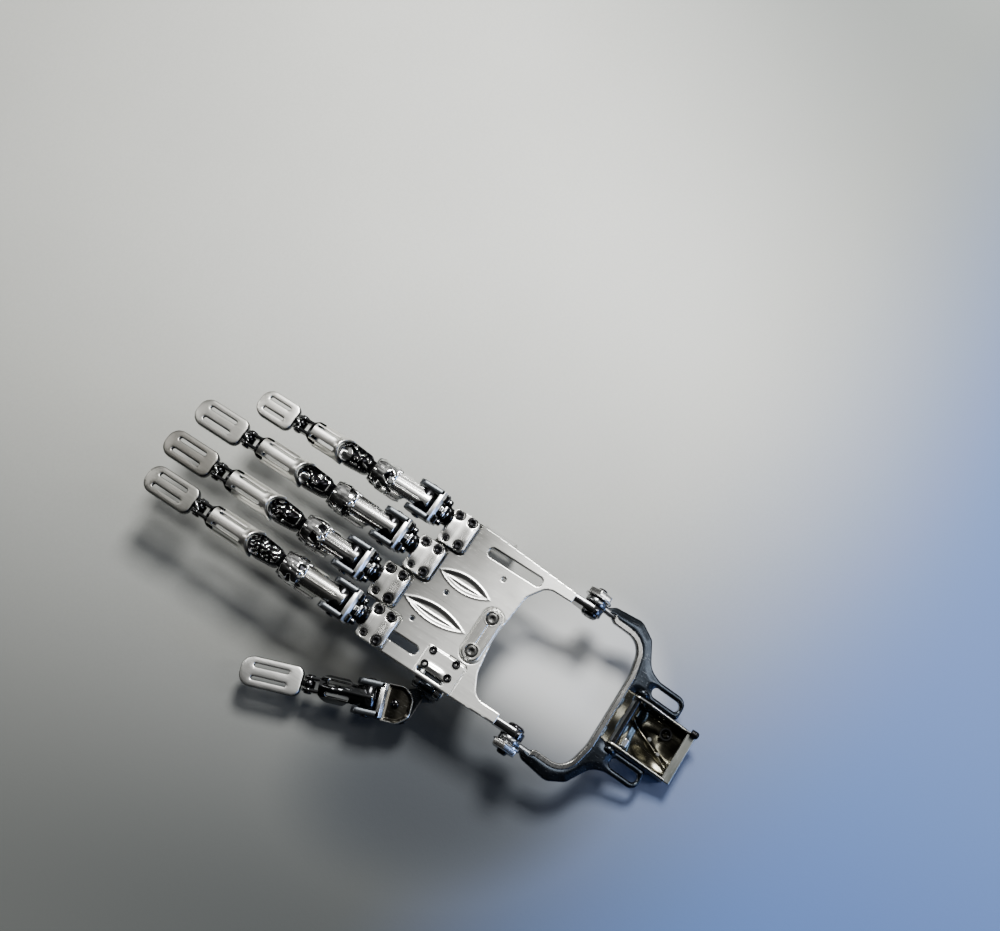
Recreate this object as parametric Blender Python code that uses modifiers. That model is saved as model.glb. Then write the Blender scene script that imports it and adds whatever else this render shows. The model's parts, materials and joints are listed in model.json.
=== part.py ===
"""Articulated metal prosthetic hand: a stepped back plate, four fingers, a thumb and a hinged wrist yoke.

The hand lies palm down. +Y points to the fingertips, +X to the little finger and +Z is the back of the hand.
The origin is the middle of the floor rectangle that the whole hand covers. Every piece is its own object.
"""

import math

import bmesh
import bpy
from mathutils import Matrix

MM = 0.001

# Fits
GAP = 0.3 * MM  # between any two touching pieces
PIN_R = 1.25 * MM
PIN_HOLE_R = PIN_R + GAP
PIN_HEAD_R = PIN_R + 0.65 * MM
PIN_HEAD_T = 0.6 * MM

# Where the palm's centre stands, from the middle of the whole hand's floor rectangle
PALM_AT = (19.63 * MM, -15.5 * MM)

# Back plate
PLATE_TOP = 30.0 * MM
PLATE_T = 2.0 * MM
PLATE_LEFT = -36.8 * MM
PLATE_RIGHT = 36.0 * MM
ARM_END_Y = -44.0 * MM
FLANGE_T = 1.8 * MM
FLANGE_H = 7.0 * MM
OPENING_FRONT_Y = -24.5 * MM
TAB_T = 1.8 * MM
TAB_START = -8.0 * MM
TAB_END = 9.0 * MM
TAB_CLEAR = 1.5 * MM  # folded little finger to the strap tab

# Anchor bar, on the back plate
ANCHOR_Y = -18.75 * MM
ANCHOR_SCREWS = (-15.4 * MM, 1.5 * MM)

# Finger mounts, on the back plate
MOUNT_W = 17.2 * MM
MOUNT_L = 13.6 * MM
MOUNT_T = 2.2 * MM
SCREW_PITCH_X = 12.2 * MM
SCREW_PITCH_Y = 6.6 * MM
SCREW_R = 1.1 * MM
SCREW_HEAD_R = 1.85 * MM
SCREW_HEAD_T = 0.9 * MM
NUT_PLATE_T = 1.4 * MM

# Knuckle fork
SWIVEL_Y = 9.2 * MM  # mount centre to swivel axis
KNUCKLE_Y = 10.8 * MM  # swivel axis to knuckle axis
KNUCKLE_Z = 6.0 * MM  # back plate's top to knuckle axis
EAR_R = 4.3 * MM
FORK_W = 15.8 * MM
PRONG_T = 2.7 * MM
PRONG_H = 6.2 * MM
BAR_Y = 3.0 * MM
BAR_T = 3.2 * MM
PRONG_END_Y = 17.3 * MM

# Finger links: half-widths across the finger, and how far each hinge drops below the last
LINK_EYE_R = 4.2 * MM
LINK_HALF_W = 6.2 * MM
SHELL_T = 1.2 * MM
CHEEK_OUT = 6.0 * MM
CHEEK_IN = 3.3 * MM
CHEEK_R = 3.7 * MM
MIDDLE_DROP = 0.8 * MM
CUP_HALF_W = 5.8 * MM
CUP_START = 4.4 * MM
CUP_L = 17.4 * MM
NECK_OUT = 3.6 * MM
NECK_IN = 1.9 * MM
NECK_R = 2.9 * MM
TIP_DROP = 1.8 * MM
TIP_START = 3.8 * MM
TIP_HALF_W = 6.6 * MM
TIP_T = 2.2 * MM
TIP_SLOT_W = 2.6 * MM
TIP_SLOT_X = 2.9 * MM

# Each finger in millimetres: its mount's x and y, its own line's x, then knuckle to middle hinge,
# middle to tip hinge and tip hinge to end
FINGERS = {
    "index": (-28.2, 21.9, -28.0, 27.5, 50.0, 30.0),
    "middle": (-10.0, 28.1, -9.5, 23.5, 51.0, 30.0),
    "ring": (8.4, 21.7, 10.5, 28.0, 50.5, 29.5),
    "little": (26.9, 15.6, 29.5, 25.0, 44.0, 23.5),
}

# Thumb
THUMB_YAW = 20.0  # degrees outwards from the fingers
THUMB_KNUCKLE = (-55.5 * MM, 9.8 * MM, 16.0 * MM)
THUMB_SWIVEL_BACK = 12.0 * MM  # knuckle axis to swivel axis
THUMB_LINK_L = 27.5 * MM
THUMB_TIP_L = 30.8 * MM
THUMB_DISC_R = 7.0 * MM
THUMB_SCREWS = (-27.3 * MM, -10.6 * MM)
THUMB_SCREW_PITCH = (6.9 * MM, 11.9 * MM)
THUMB_HINGE = (-38.0 * MM, -10.6 * MM, PLATE_TOP - 6.4 * MM)
THUMB_BARREL_R = 3.0 * MM
THUMB_BARREL_L = 7.0 * MM
THUMB_PIN_LOW = 7.2 * MM  # height of the swivel pin's lower head
THUMB_MOUNT_H = 5.0 * MM

# Wrist
WRIST_X = -2.0 * MM
HINGE_Y = -53.0 * MM
HINGE_Z = PLATE_TOP - 4.0 * MM
LUG_OUT = 34.0 * MM
LUG_IN = LUG_OUT - 3.5 * MM
YOKE_EAR_OUT = LUG_OUT + GAP + 3.0 * MM
YOKE_TILT = 17.0  # degrees down from the hinge to the tail
YOKE_T = 3.0 * MM
YOKE_INNER_HALF = LUG_OUT - 1.2 * MM
YOKE_INNER_REAR = -30.5 * MM
TAIL_IN = 13.2 * MM
TAIL_OUT = TAIL_IN + 10.3 * MM
TAIL_BOSS_OUT = TAIL_IN + 2.6 * MM
TAIL_GAP_FRONT = -36.4 * MM
TAIL_END = -60.0 * MM
CLEVIS_PIN_Y = -40.5 * MM  # along the tilted yoke, from its hinge
BOLT_R = 2.4 * MM
NUT_R = 5.4 * MM
NUT_T = 3.6 * MM
CLEVIS_REAR = -119.0 * MM
CLEVIS_WALL = 1.6 * MM

FINE = 16  # sides of a large round
SMALL = 10  # sides of a pin and its bore
ARCH_STEPS = 6  # facets over a half tube
SCREW = 6  # sides of a small screw and its bore
SHARP_ANGLE = math.radians(50)  # edges sharper than this stay crisp


def clear_scene():
    for old in list(bpy.data.objects):
        bpy.data.objects.remove(old, do_unlink=True)
    for name in ("prosthetic_hand", "cutters"):
        bpy.context.scene.collection.children.link(bpy.data.collections.new(name))


def material(name, colour, roughness, metallic=1.0):
    made = bpy.data.materials.get(name) or bpy.data.materials.new(name)
    made.use_nodes = True
    shader = made.node_tree.nodes["Principled BSDF"]
    shader.inputs["Base Color"].default_value = (*colour, 1.0)
    shader.inputs["Roughness"].default_value = roughness
    shader.inputs["Metallic"].default_value = metallic
    return made


SATIN = ((0.62, 0.62, 0.60), 0.34)
BRIGHT = ((0.80, 0.80, 0.79), 0.14)
CHROME = ((0.42, 0.43, 0.44), 0.10)
TIP_GREY = ((0.50, 0.49, 0.46), 0.42)
GUNMETAL = ((0.09, 0.095, 0.105), 0.24)
BLACK = ((0.03, 0.03, 0.032), 0.45)


# ---- shapes, in the piece's own coordinates ----

def arc(cx, cy, radius, start, end, steps):
    """Points along an arc, angles in degrees."""
    turns = [math.radians(start + (end - start) * i / steps) for i in range(steps + 1)]
    return [(cx + radius * math.cos(t), cy + radius * math.sin(t)) for t in turns]


def rounded(corners, steps=3):
    """A closed outline from corners (x, y, radius), each corner an arc that meets its two sides."""
    outline = []
    for i, (x, y, radius) in enumerate(corners):
        if radius == 0:
            outline.append((x, y))
            continue
        px, py, _ = corners[i - 1]
        nx, ny, _ = corners[(i + 1) % len(corners)]
        before = math.atan2(py - y, px - x)
        after = math.atan2(ny - y, nx - x)
        half_angle = abs(math.atan2(math.sin(after - before), math.cos(after - before))) / 2
        reach = radius / math.sin(half_angle)
        middle = math.atan2(
            math.sin(before) + math.sin(after),
            math.cos(before) + math.cos(after),
        )
        cx = x + reach * math.cos(middle)
        cy = y + reach * math.sin(middle)
        back = radius / math.tan(half_angle)
        first = math.atan2(y + back * math.sin(before) - cy, x + back * math.cos(before) - cx)
        last = math.atan2(y + back * math.sin(after) - cy, x + back * math.cos(after) - cx)
        sweep = math.atan2(math.sin(last - first), math.cos(last - first))
        for k in range(steps + 1):
            turn = first + sweep * k / steps
            outline.append((cx + radius * math.cos(turn), cy + radius * math.sin(turn)))
    return outline


def slot(cx, cy, width, length, steps=4):
    """An obround, long in the outline's second direction."""
    radius = width / 2
    reach = length / 2 - radius
    return arc(cx, cy + reach, radius, 0, 180, steps) + arc(cx, cy - reach, radius, 180, 360, steps)


def ring(cx, cy, radius, steps=FINE):
    return arc(cx, cy, radius, 0, 360 * (steps - 1) / steps, steps - 1)


FACING = {
    "z": Matrix.Identity(4),
    "x": Matrix(((0, 0, 1, 0), (1, 0, 0, 0), (0, 1, 0, 0), (0, 0, 0, 1))),
    "y": Matrix(((1, 0, 0, 0), (0, 0, -1, 0), (0, 1, 0, 0), (0, 0, 0, 1))),
}


def sheet(name, loops, low, high, along="z"):
    """A flat outline with holes, extruded from low to high along x, y or z, as a mesh object.

    The outline is (x, y) along z, (y, z) along x and (x, z) along y.
    """
    curve = bpy.data.curves.new(name, "CURVE")
    curve.dimensions = "2D"
    curve.fill_mode = "BOTH"
    curve.extrude = (high - low) / 2
    for loop in loops:
        spline = curve.splines.new("POLY")
        spline.points.add(len(loop) - 1)
        for point, (u, v) in zip(spline.points, loop):
            point.co = (u, v, 0, 1)
        spline.use_cyclic_u = True
    drawn = bpy.data.objects.new(name + "_outline", curve)
    bpy.context.scene.collection.objects.link(drawn)
    graph = bpy.context.evaluated_depsgraph_get()
    mesh = bpy.data.meshes.new_from_object(drawn.evaluated_get(graph))
    bpy.data.objects.remove(drawn)
    work = bmesh.new()
    work.from_mesh(mesh)
    bmesh.ops.remove_doubles(work, verts=work.verts, dist=1e-6)
    bmesh.ops.recalc_face_normals(work, faces=work.faces)
    middle = (low + high) / 2
    shift = {"x": (middle, 0, 0), "y": (0, middle, 0), "z": (0, 0, middle)}[along]
    bmesh.ops.transform(work, matrix=Matrix.Translation(shift) @ FACING[along], verts=work.verts)
    work.to_mesh(mesh)
    work.free()
    mesh.name = name
    return bpy.data.objects.new(name, mesh)


def box(name, low, high):
    """A box between two corners."""
    size = [b - a for a, b in zip(low, high)]
    centre = [(a + b) / 2 for a, b in zip(low, high)]
    mesh = bpy.data.meshes.new(name)
    work = bmesh.new()
    placed = Matrix.Translation(centre) @ Matrix.Diagonal((*size, 1))
    bmesh.ops.create_cube(work, size=1, matrix=placed)
    work.to_mesh(mesh)
    work.free()
    return bpy.data.objects.new(name, mesh)


def rod(name, radius, start, end, along, at=(0, 0, 0), sides=FINE):
    """A cylinder from start to end along an axis through a point."""
    mesh = bpy.data.meshes.new(name)
    work = bmesh.new()
    middle = (start + end) / 2
    shift = {"x": (middle, 0, 0), "y": (0, middle, 0), "z": (0, 0, middle)}[along]
    placed = Matrix.Translation(at) @ Matrix.Translation(shift) @ FACING[along]
    bmesh.ops.create_cone(
        work, cap_ends=True, segments=sides, radius1=radius, radius2=radius, depth=end - start, matrix=placed
    )
    work.to_mesh(mesh)
    work.free()
    return bpy.data.objects.new(name, mesh)


def turned(name, profile, along, sides=SMALL):
    """A turned piece: a profile of (radius, place) run round its axis with a Screw modifier."""
    mesh = bpy.data.meshes.new(name)
    downwards = profile if profile[0][1] > profile[-1][1] else profile[::-1]
    points = [(radius, 0, height) for radius, height in downwards]
    mesh.from_pydata(points, [(i, i + 1) for i in range(len(points) - 1)], [])
    made = bpy.data.objects.new(name, mesh)
    screw = made.modifiers.new("turn", "SCREW")
    screw.steps = sides
    screw.render_steps = sides
    screw.use_merge_vertices = True
    screw.merge_threshold = 0.00001
    made.rotation_euler = {"x": (0, math.pi / 2, 0), "y": (-math.pi / 2, 0, 0), "z": (0, 0, 0)}[along]
    return made


# ---- putting pieces together ----

def place(piece, look, at=(0, 0, 0), parent=None):
    """Adds a finished piece to the hand."""
    bpy.data.collections["prosthetic_hand"].objects.link(piece)
    piece.location = at
    piece.parent = parent
    colour, roughness = look
    piece.data.materials.clear()
    piece.data.materials.append(material(piece.name + "_metal", colour, roughness))
    piece.data.shade_smooth()
    piece.data.set_sharp_from_angle(angle=SHARP_ANGLE)
    return piece


def boolean(piece, tools, operation):
    for tool in tools:
        bpy.data.collections["cutters"].objects.link(tool)
        tool.parent = piece
        tool.hide_render = True
        tool.display_type = "WIRE"
        step = piece.modifiers.new(tool.name, "BOOLEAN")
        step.operation = operation
        step.solver = "EXACT"
        step.object = tool
    return piece


def join(piece, *tools):
    return boolean(piece, tools, "UNION")


def cut(piece, *tools):
    return boolean(piece, tools, "DIFFERENCE")


def keep_inside(piece, tool):
    return boolean(piece, [tool], "INTERSECT")


def pin_profile(low, high, head=PIN_HEAD_R, shank=PIN_R, head_t=PIN_HEAD_T):
    """A shank with a low rounded head on each end; low and high are the heads' inner faces."""
    edge = head * 0.7
    return [
        (0.0, low - head_t),
        (edge, low - head_t),
        (head, low),
        (shank, low),
        (shank, high),
        (head, high),
        (edge, high + head_t),
        (0.0, high + head_t),
    ]


def cross_pin(name, outer, at, parent, look=BRIGHT):
    """A pin across a finger, its heads just outside the cheeks at plus and minus outer."""
    piece = turned(name, pin_profile(-outer - GAP, outer + GAP), "x")
    return place(piece, look, at, parent)


# ---- palm ----

def back_plate(root):
    mounts = [FINGERS[name] for name in ("little", "ring", "middle", "index")]
    edges = [PLATE_RIGHT] + [(a[0] + b[0]) / 2 * MM for a, b in zip(mounts, mounts[1:])] + [PLATE_LEFT]
    front = []
    for i, finger in enumerate(mounts):
        y = finger[1] * MM + MOUNT_L / 2 + 0.2 * MM
        outer_right = 3 * MM if i == 0 else 1 * MM
        outer_left = 3 * MM if i == 3 else 1 * MM
        front.append((edges[i], y, outer_right))
        front.append((edges[i + 1], y, outer_left))
    arm_right = WRIST_X + LUG_OUT
    arm_left = WRIST_X - LUG_OUT
    inner_right = WRIST_X + LUG_IN - 1.5 * MM
    inner_left = WRIST_X - LUG_IN + 1.5 * MM
    rear = [
        (PLATE_LEFT, -25 * MM, 8 * MM),
        (arm_left, ARM_END_Y, 0),
        (inner_left, ARM_END_Y, 0),
        (inner_left, -31 * MM, 6 * MM),
        (-21 * MM, OPENING_FRONT_Y - 1.5 * MM, 6 * MM),
        (-5 * MM, OPENING_FRONT_Y + 0.8 * MM, 30 * MM),
        (18 * MM, OPENING_FRONT_Y - 1.5 * MM, 6 * MM),
        (inner_right, -32 * MM, 6 * MM),
        (inner_right, ARM_END_Y, 0),
        (arm_right, ARM_END_Y, 0),
        (PLATE_RIGHT - 0.8 * MM, 0, 8 * MM),
    ]
    outline = rounded(front + rear, 3)
    holes = [
        slot(27.0 * MM, -14.5 * MM, 4.6 * MM, 28 * MM),
        slot(-28.4 * MM, 8.4 * MM, 4.2 * MM, 15 * MM),
        slot(-33.9 * MM, -9.4 * MM, 2.2 * MM, 13.5 * MM, 3),
    ]
    holes += [ring(x * MM, y * MM, 0.9 * MM, 8) for x, y in ((19.4, -13.2), (0.6, 5.0), (-17.2, 11.2))]
    plate = sheet("back_plate", [outline] + holes, -PLATE_T, 0)
    lens = [lens_pocket("lens_pocket_right", 8.0 * MM, 0.1 * MM, 24.2 * MM),
            lens_pocket("lens_pocket_left", -10.4 * MM, 4.2 * MM, 29.2 * MM)]
    cut(plate, *lens)
    join(
        plate,
        wrist_lug("lug_right", WRIST_X + LUG_IN),
        wrist_lug("lug_left", WRIST_X - LUG_OUT),
        flange("flange_right", WRIST_X + LUG_OUT - FLANGE_T, -42 * MM, -15 * MM),
        flange("flange_left", WRIST_X - LUG_OUT, -42 * MM, -26 * MM),
    )
    join(plate, palm_strap_tab("palm_strap_tab"))
    bores = []
    for name, finger in FINGERS.items():
        for i, (dx, dy) in enumerate(screw_places(SCREW_PITCH_X, SCREW_PITCH_Y)):
            at = (finger[0] * MM + dx, finger[1] * MM + dy, 0)
            bores.append(rod(f"{name}_plate_bore_{i}", SCREW_R + GAP, -PLATE_T * 2, PLATE_T, "z", at, SCREW))
    for i, (dx, dy) in enumerate(screw_places(*THUMB_SCREW_PITCH)):
        at = (THUMB_SCREWS[0] + dx, THUMB_SCREWS[1] + dy, 0)
        bores.append(rod(f"thumb_plate_bore_{i}", SCREW_R + GAP, -PLATE_T * 2, PLATE_T, "z", at, SCREW))
    for i, x in enumerate(ANCHOR_SCREWS):
        at = (x, ANCHOR_Y, 0)
        bores.append(rod(f"anchor_plate_bore_{i}", SCREW_R + GAP, -PLATE_T * 2, PLATE_T, "z", at, SCREW))
    hinge = (WRIST_X, HINGE_Y, HINGE_Z - PLATE_TOP)
    bores.append(rod("lug_bore", BOLT_R + GAP, -LUG_OUT * 1.2, LUG_OUT * 1.2, "x", hinge))
    cut(plate, *bores)
    return place(plate, SATIN, (0, 0, PLATE_TOP), root)


def lens_pocket(name, cx, cy, length):
    """A shallow lens-shaped recess, from two equal arcs."""
    half = length / 2
    depth = 3.5 * MM
    radius = (half * half + depth * depth) / (2 * depth)
    swing = math.degrees(math.asin(half / radius))
    right = arc(cx - radius + depth, cy, radius, -swing, swing, 6)
    left = arc(cx + radius - depth, cy, radius, 180 - swing, 180 + swing, 6)
    return sheet(name, [right[:-1] + left[:-1]], -0.9 * MM, 1 * MM)


def wrist_lug(name, x):
    """A vertical lug behind an arm of the back plate, round about the wrist bolt."""
    drop = HINGE_Z - PLATE_TOP
    front = ARM_END_Y + 4 * MM
    outline = [(front, 0)] + arc(HINGE_Y, drop, 5 * MM, 100, 260, 8) + [(front, -7 * MM)]
    return sheet(name, [outline], x, x + LUG_OUT - LUG_IN, "x")


def flange(name, x, start, end):
    """A shallow turned-down edge along one side of the back plate."""
    return box(name, (x, start, -FLANGE_H), (x + FLANGE_T, end, -PLATE_T / 2))


def palm_strap_tab(name):
    """A tab turned down from the plate's outer edge to the floor, with a slot for the palm strap at its foot.

    It steps outwards on its way down, so that the folded little finger passes inside it.
    """
    top = -PLATE_T / 2
    foot = -PLATE_TOP
    face = PLATE_RIGHT - 3.0 * MM
    clear = FINGERS["little"][2] * MM + TIP_HALF_W + TAB_CLEAR
    line = [(face, top), (face, -3 * MM), (clear, -14 * MM), (clear, foot)]
    back = [(x + TAB_T, z) for x, z in reversed(line)]
    tab = sheet(name, [line + back], TAB_START, TAB_END, "y")
    middle = (TAB_START + TAB_END) / 2
    strap = [(y, z) for z, y in slot(foot + 5.5 * MM, middle, 3 * MM, TAB_END - TAB_START - 4 * MM)]
    low = clear - 2 * MM
    return cut(tab, sheet("palm_strap_slot", [strap], low, low + TAB_T + 4 * MM, "x"))


def screw_places(pitch_x, pitch_y):
    return [(sx * pitch_x / 2, sy * pitch_y / 2) for sy in (1, -1) for sx in (1, -1)]


def screw_set(name, at, top, places, parent, under=-PLATE_T):
    """Socket screws, with the nut plate against the underside that they thread into."""
    xs = [x for x, _ in places]
    ys = [y for _, y in places]
    edge = SCREW_R + 1.2 * MM
    high = under - GAP
    low = high - NUT_PLATE_T
    corners = [
        (max(xs) + edge, max(ys) + edge, edge * 0.95),
        (min(xs) - edge, max(ys) + edge, edge * 0.95),
        (min(xs) - edge, min(ys) - edge, edge * 0.95),
        (max(xs) + edge, min(ys) - edge, edge * 0.95),
    ]
    piece = sheet(name, [rounded(corners, 3)], low, high)
    seat = top + GAP
    inside = low + NUT_PLATE_T / 2
    for i, (x, y) in enumerate(places):
        join(
            piece,
            rod(f"{name}_shank_{i}", SCREW_R, inside, seat + SCREW_HEAD_T / 2, "z", (x, y, 0), SCREW),
            rod(f"{name}_head_{i}", SCREW_HEAD_R, seat, seat + SCREW_HEAD_T, "z", (x, y, 0), 8),
        )
    return place(piece, BLACK, at, parent)


def anchor_bar(root):
    centre = sum(ANCHOR_SCREWS) / 2
    across = slot(0, 0, 8.9 * MM, 25.8 * MM)
    piece = sheet("anchor_bar", [[(y, x) for x, y in across]], GAP, GAP + 1.6 * MM)
    for i, x in enumerate(ANCHOR_SCREWS):
        cut(piece, rod(f"anchor_bore_{i}", SCREW_R + GAP, -1 * MM, 3 * MM, "z", (x - centre, 0, 0), SCREW))
    place(piece, SATIN, (centre, ANCHOR_Y, PLATE_TOP), root)
    places = [(x - centre, 0) for x in ANCHOR_SCREWS]
    screw_set("anchor_screws", (centre, ANCHOR_Y, PLATE_TOP), GAP + 1.6 * MM, places, root)


# ---- fingers ----

def finger_mount(name, finger, root):
    mount_x, mount_y, line_x = finger[0] * MM, finger[1] * MM, finger[2] * MM
    half_w, half_l = MOUNT_W / 2, MOUNT_L / 2
    aside = line_x - mount_x
    corners = [
        (half_w, half_l, 1.6 * MM),
        (aside + EAR_R, half_l, 0),
        (aside + EAR_R, SWIVEL_Y + EAR_R, EAR_R * 0.98),
        (aside - EAR_R, SWIVEL_Y + EAR_R, EAR_R * 0.98),
        (aside - EAR_R, half_l, 0),
        (-half_w, half_l, 1.6 * MM),
        (-half_w, -half_l, 2.5 * MM),
        (half_w, -half_l, 2.5 * MM),
    ]
    swivel_bore = ring(aside, SWIVEL_Y, PIN_HOLE_R, SMALL)
    piece = sheet(name + "_mount", [rounded(corners), swivel_bore], GAP, GAP + MOUNT_T)
    for i, (x, y) in enumerate(screw_places(SCREW_PITCH_X, SCREW_PITCH_Y)):
        cut(piece, rod(f"{name}_mount_bore_{i}", SCREW_R + GAP, -1 * MM, 4 * MM, "z", (x, y, 0), SCREW))
    return place(piece, BRIGHT, (mount_x, mount_y, PLATE_TOP), root)


def fork_prong(name, side, half_w, bar_y, end_y, axis_z, height, thickness):
    """One prong: a bar that tapers to a round tip, outline seen from the side."""
    half = height / 2
    corners = [
        (bar_y, axis_z - half, 0),
        (end_y, axis_z - half, half * 0.95),
        (end_y, axis_z + half, half * 0.95),
        (bar_y, axis_z + half, 0),
    ]
    inner = half_w - thickness
    low, high = (inner, half_w) if side > 0 else (-half_w, -inner)
    return sheet(name, [rounded(corners)], low, high, "x")


def knuckle_fork(name, at, parent):
    low = GAP + MOUNT_T + GAP
    half = FORK_W / 2
    axis_z = KNUCKLE_Z
    piece = sheet(name + "_fork", [ring(0, 0, EAR_R)], low, low + 2.6 * MM)
    join(
        piece,
        box(name + "_fork_neck", (-3.2 * MM, 0.5 * MM, low), (3.2 * MM, BAR_Y + 1 * MM, low + 2.6 * MM)),
        box(
            name + "_fork_bar",
            (-half, BAR_Y, axis_z - PRONG_H / 2),
            (half, BAR_Y + BAR_T, axis_z + PRONG_H / 2),
        ),
        fork_prong(name + "_prong_right", 1, half, BAR_Y + 1 * MM, PRONG_END_Y, axis_z, PRONG_H, PRONG_T),
        fork_prong(name + "_prong_left", -1, half, BAR_Y + 1 * MM, PRONG_END_Y, axis_z, PRONG_H, PRONG_T),
    )
    knuckle = (0, KNUCKLE_Y, axis_z)
    cut(
        piece,
        rod(name + "_fork_swivel_bore", PIN_HOLE_R, 0, 8 * MM, "z", (0, 0, 0), SMALL),
        rod(name + "_fork_knuckle_bore", PIN_HOLE_R, -half * 1.5, half * 1.5, "x", knuckle, SMALL),
    )
    return place(piece, BRIGHT, at, parent)


def swivel_pin(name, at, parent, low, high):
    piece = turned(name, pin_profile(low, high), "z")
    return place(piece, CHROME, at, parent)


def arch(name, half_w, crown, side_z, thickness, start, end):
    """A half tube along y: the band between two arcs that run from one side over the crown to the other."""
    rise = crown - side_z
    radius = (half_w * half_w + rise * rise) / (2 * rise)
    centre_z = crown - radius
    swing = math.degrees(math.acos((side_z - centre_z) / radius))
    outer = arc(0, centre_z, radius, 90 - swing, 90 + swing, ARCH_STEPS)
    inner = arc(0, centre_z, radius - thickness, 90 + swing, 90 - swing, ARCH_STEPS)
    return sheet(name, [outer + inner], start, end, "y")


def mirrored(corners):
    """The corners of one side, then the other side's, in order round the outline."""
    return corners + [(-x, y, radius) for x, y, radius in reversed(corners)]


def root_outline(narrow):
    """The rear of a link: narrow between the fork's prongs, then its full width, left side first."""
    wide = LINK_HALF_W + 0.2 * MM
    half = [(wide, 11 * MM, 2 * MM), (narrow, 8 * MM, 2 * MM), (narrow, -2 * MM, 0)]
    return [(-x, y, radius) for x, y, radius in half] + half[::-1]


def neck_outline(end):
    """The front of a link: its full width drawn in to the neck."""
    return mirrored([(LINK_HALF_W + 0.2 * MM, end - 2.5 * MM, 2.4 * MM), (NECK_OUT, end, 0.8 * MM)])


def neck_cheeks(name, end, axis_y):
    """The two cheeks that hold the tip hinge's pin."""
    cheeks = []
    for side, low, high in (("right", NECK_IN, NECK_OUT), ("left", -NECK_OUT, -NECK_IN)):
        cheek = [(end - 3 * MM, 1.4 * MM)] + arc(axis_y, -TIP_DROP, NECK_R, 80, -100, 5)
        cheek += [(end - 3 * MM, -2 * MM)]
        cheeks.append(sheet(f"{name}_neck_{side}", [cheek], low, high, "x"))
    return cheeks


def proximal_link(name, length, parent):
    low_z = -2.2 * MM
    cover = arch(name + "_proximal_link", LINK_HALF_W, 4.4 * MM, low_z, SHELL_T, -2 * MM, length - 2 * MM)
    narrow = FORK_W / 2 - PRONG_T - GAP
    outline = rounded(root_outline(narrow) + mirrored([(LINK_HALF_W + 0.2 * MM, length - 3.5 * MM, 2 * MM)]))
    keep_inside(cover, sheet(name + "_proximal_outline", [outline], -9 * MM, 9 * MM))
    join(
        cover,
        rod(name + "_proximal_eye", LINK_EYE_R, -narrow, narrow, "x"),
        box(name + "_proximal_web", (-2.6 * MM, 1 * MM, -1.8 * MM), (2.6 * MM, length - 5.5 * MM, 3.9 * MM)),
    )
    drop = -MIDDLE_DROP
    for side, low, high in (("right", CHEEK_IN, CHEEK_OUT), ("left", -CHEEK_OUT, -CHEEK_IN)):
        cheek = [(length - 10 * MM, drop + CHEEK_R * 0.8)] + arc(length, drop, CHEEK_R, 100, -100, 6)
        cheek += [(length - 10 * MM, drop - CHEEK_R * 0.6)]
        join(cover, sheet(f"{name}_cheek_{side}", [cheek], low, high, "x"))
    cut(
        cover,
        rod(name + "_proximal_knuckle_bore", PIN_HOLE_R, -9 * MM, 9 * MM, "x", (0, 0, 0), SMALL),
        rod(name + "_proximal_middle_bore", PIN_HOLE_R, -9 * MM, 9 * MM, "x", (0, length, drop), SMALL),
    )
    return place(cover, BRIGHT, (0, KNUCKLE_Y, KNUCKLE_Z), parent)


def middle_link(name, length, at, parent):
    cup_end = CUP_START + CUP_L
    plate_end = length - 4.5 * MM
    cover_start = cup_end - 3 * MM
    cover = arch(name + "_middle_link", LINK_HALF_W, 3.2 * MM, -1.8 * MM, SHELL_T, cover_start, plate_end)
    rear = (LINK_HALF_W + 0.2 * MM, cover_start, 0)
    outline = rounded([(-rear[0], cover_start, 0), rear] + neck_outline(plate_end))
    slots_y = (cup_end + plate_end) / 2
    slots_l = min(15 * MM, plate_end - cup_end - 5 * MM)
    slots = [slot(sx * 3.1 * MM, slots_y, 1.9 * MM, slots_l, 3) for sx in (1, -1)]
    keep_inside(cover, sheet(name + "_middle_outline", [outline] + slots, -9 * MM, 9 * MM))
    cup = slot(0, CUP_START + CUP_L / 2, CUP_HALF_W * 2, CUP_L, 5)
    hollow = slot(0, CUP_START + CUP_L / 2, CUP_HALF_W * 2 - 2.6 * MM, CUP_L - 2.6 * MM, 5)
    join(
        cover,
        sheet(name + "_cup", [cup], -4.0 * MM, 2.4 * MM),
        rod(name + "_tongue_eye", 3.3 * MM, -3.0 * MM, 3.0 * MM, "x"),
        box(name + "_tongue", (-3.0 * MM, 0.5 * MM, -3.0 * MM), (3.0 * MM, CUP_START + 2 * MM, 1.6 * MM)),
    )
    cut(cover, sheet(name + "_cup_hollow", [hollow], -2.6 * MM, 6 * MM))
    join(cover, *neck_cheeks(name, plate_end, length))
    web_low = (-NECK_OUT, plate_end - 4 * MM, -1.8 * MM)
    web_high = (NECK_OUT, plate_end - 1 * MM, 2.2 * MM)
    join(cover, box(name + "_neck_web", web_low, web_high))
    cut(
        cover,
        rod(name + "_middle_middle_bore", PIN_HOLE_R, -9 * MM, 9 * MM, "x", (0, 0, 0), SMALL),
        rod(name + "_middle_tip_bore", PIN_HOLE_R, -9 * MM, 9 * MM, "x", (0, length, -TIP_DROP), SMALL),
    )
    return place(cover, CHROME, at, parent)


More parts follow.
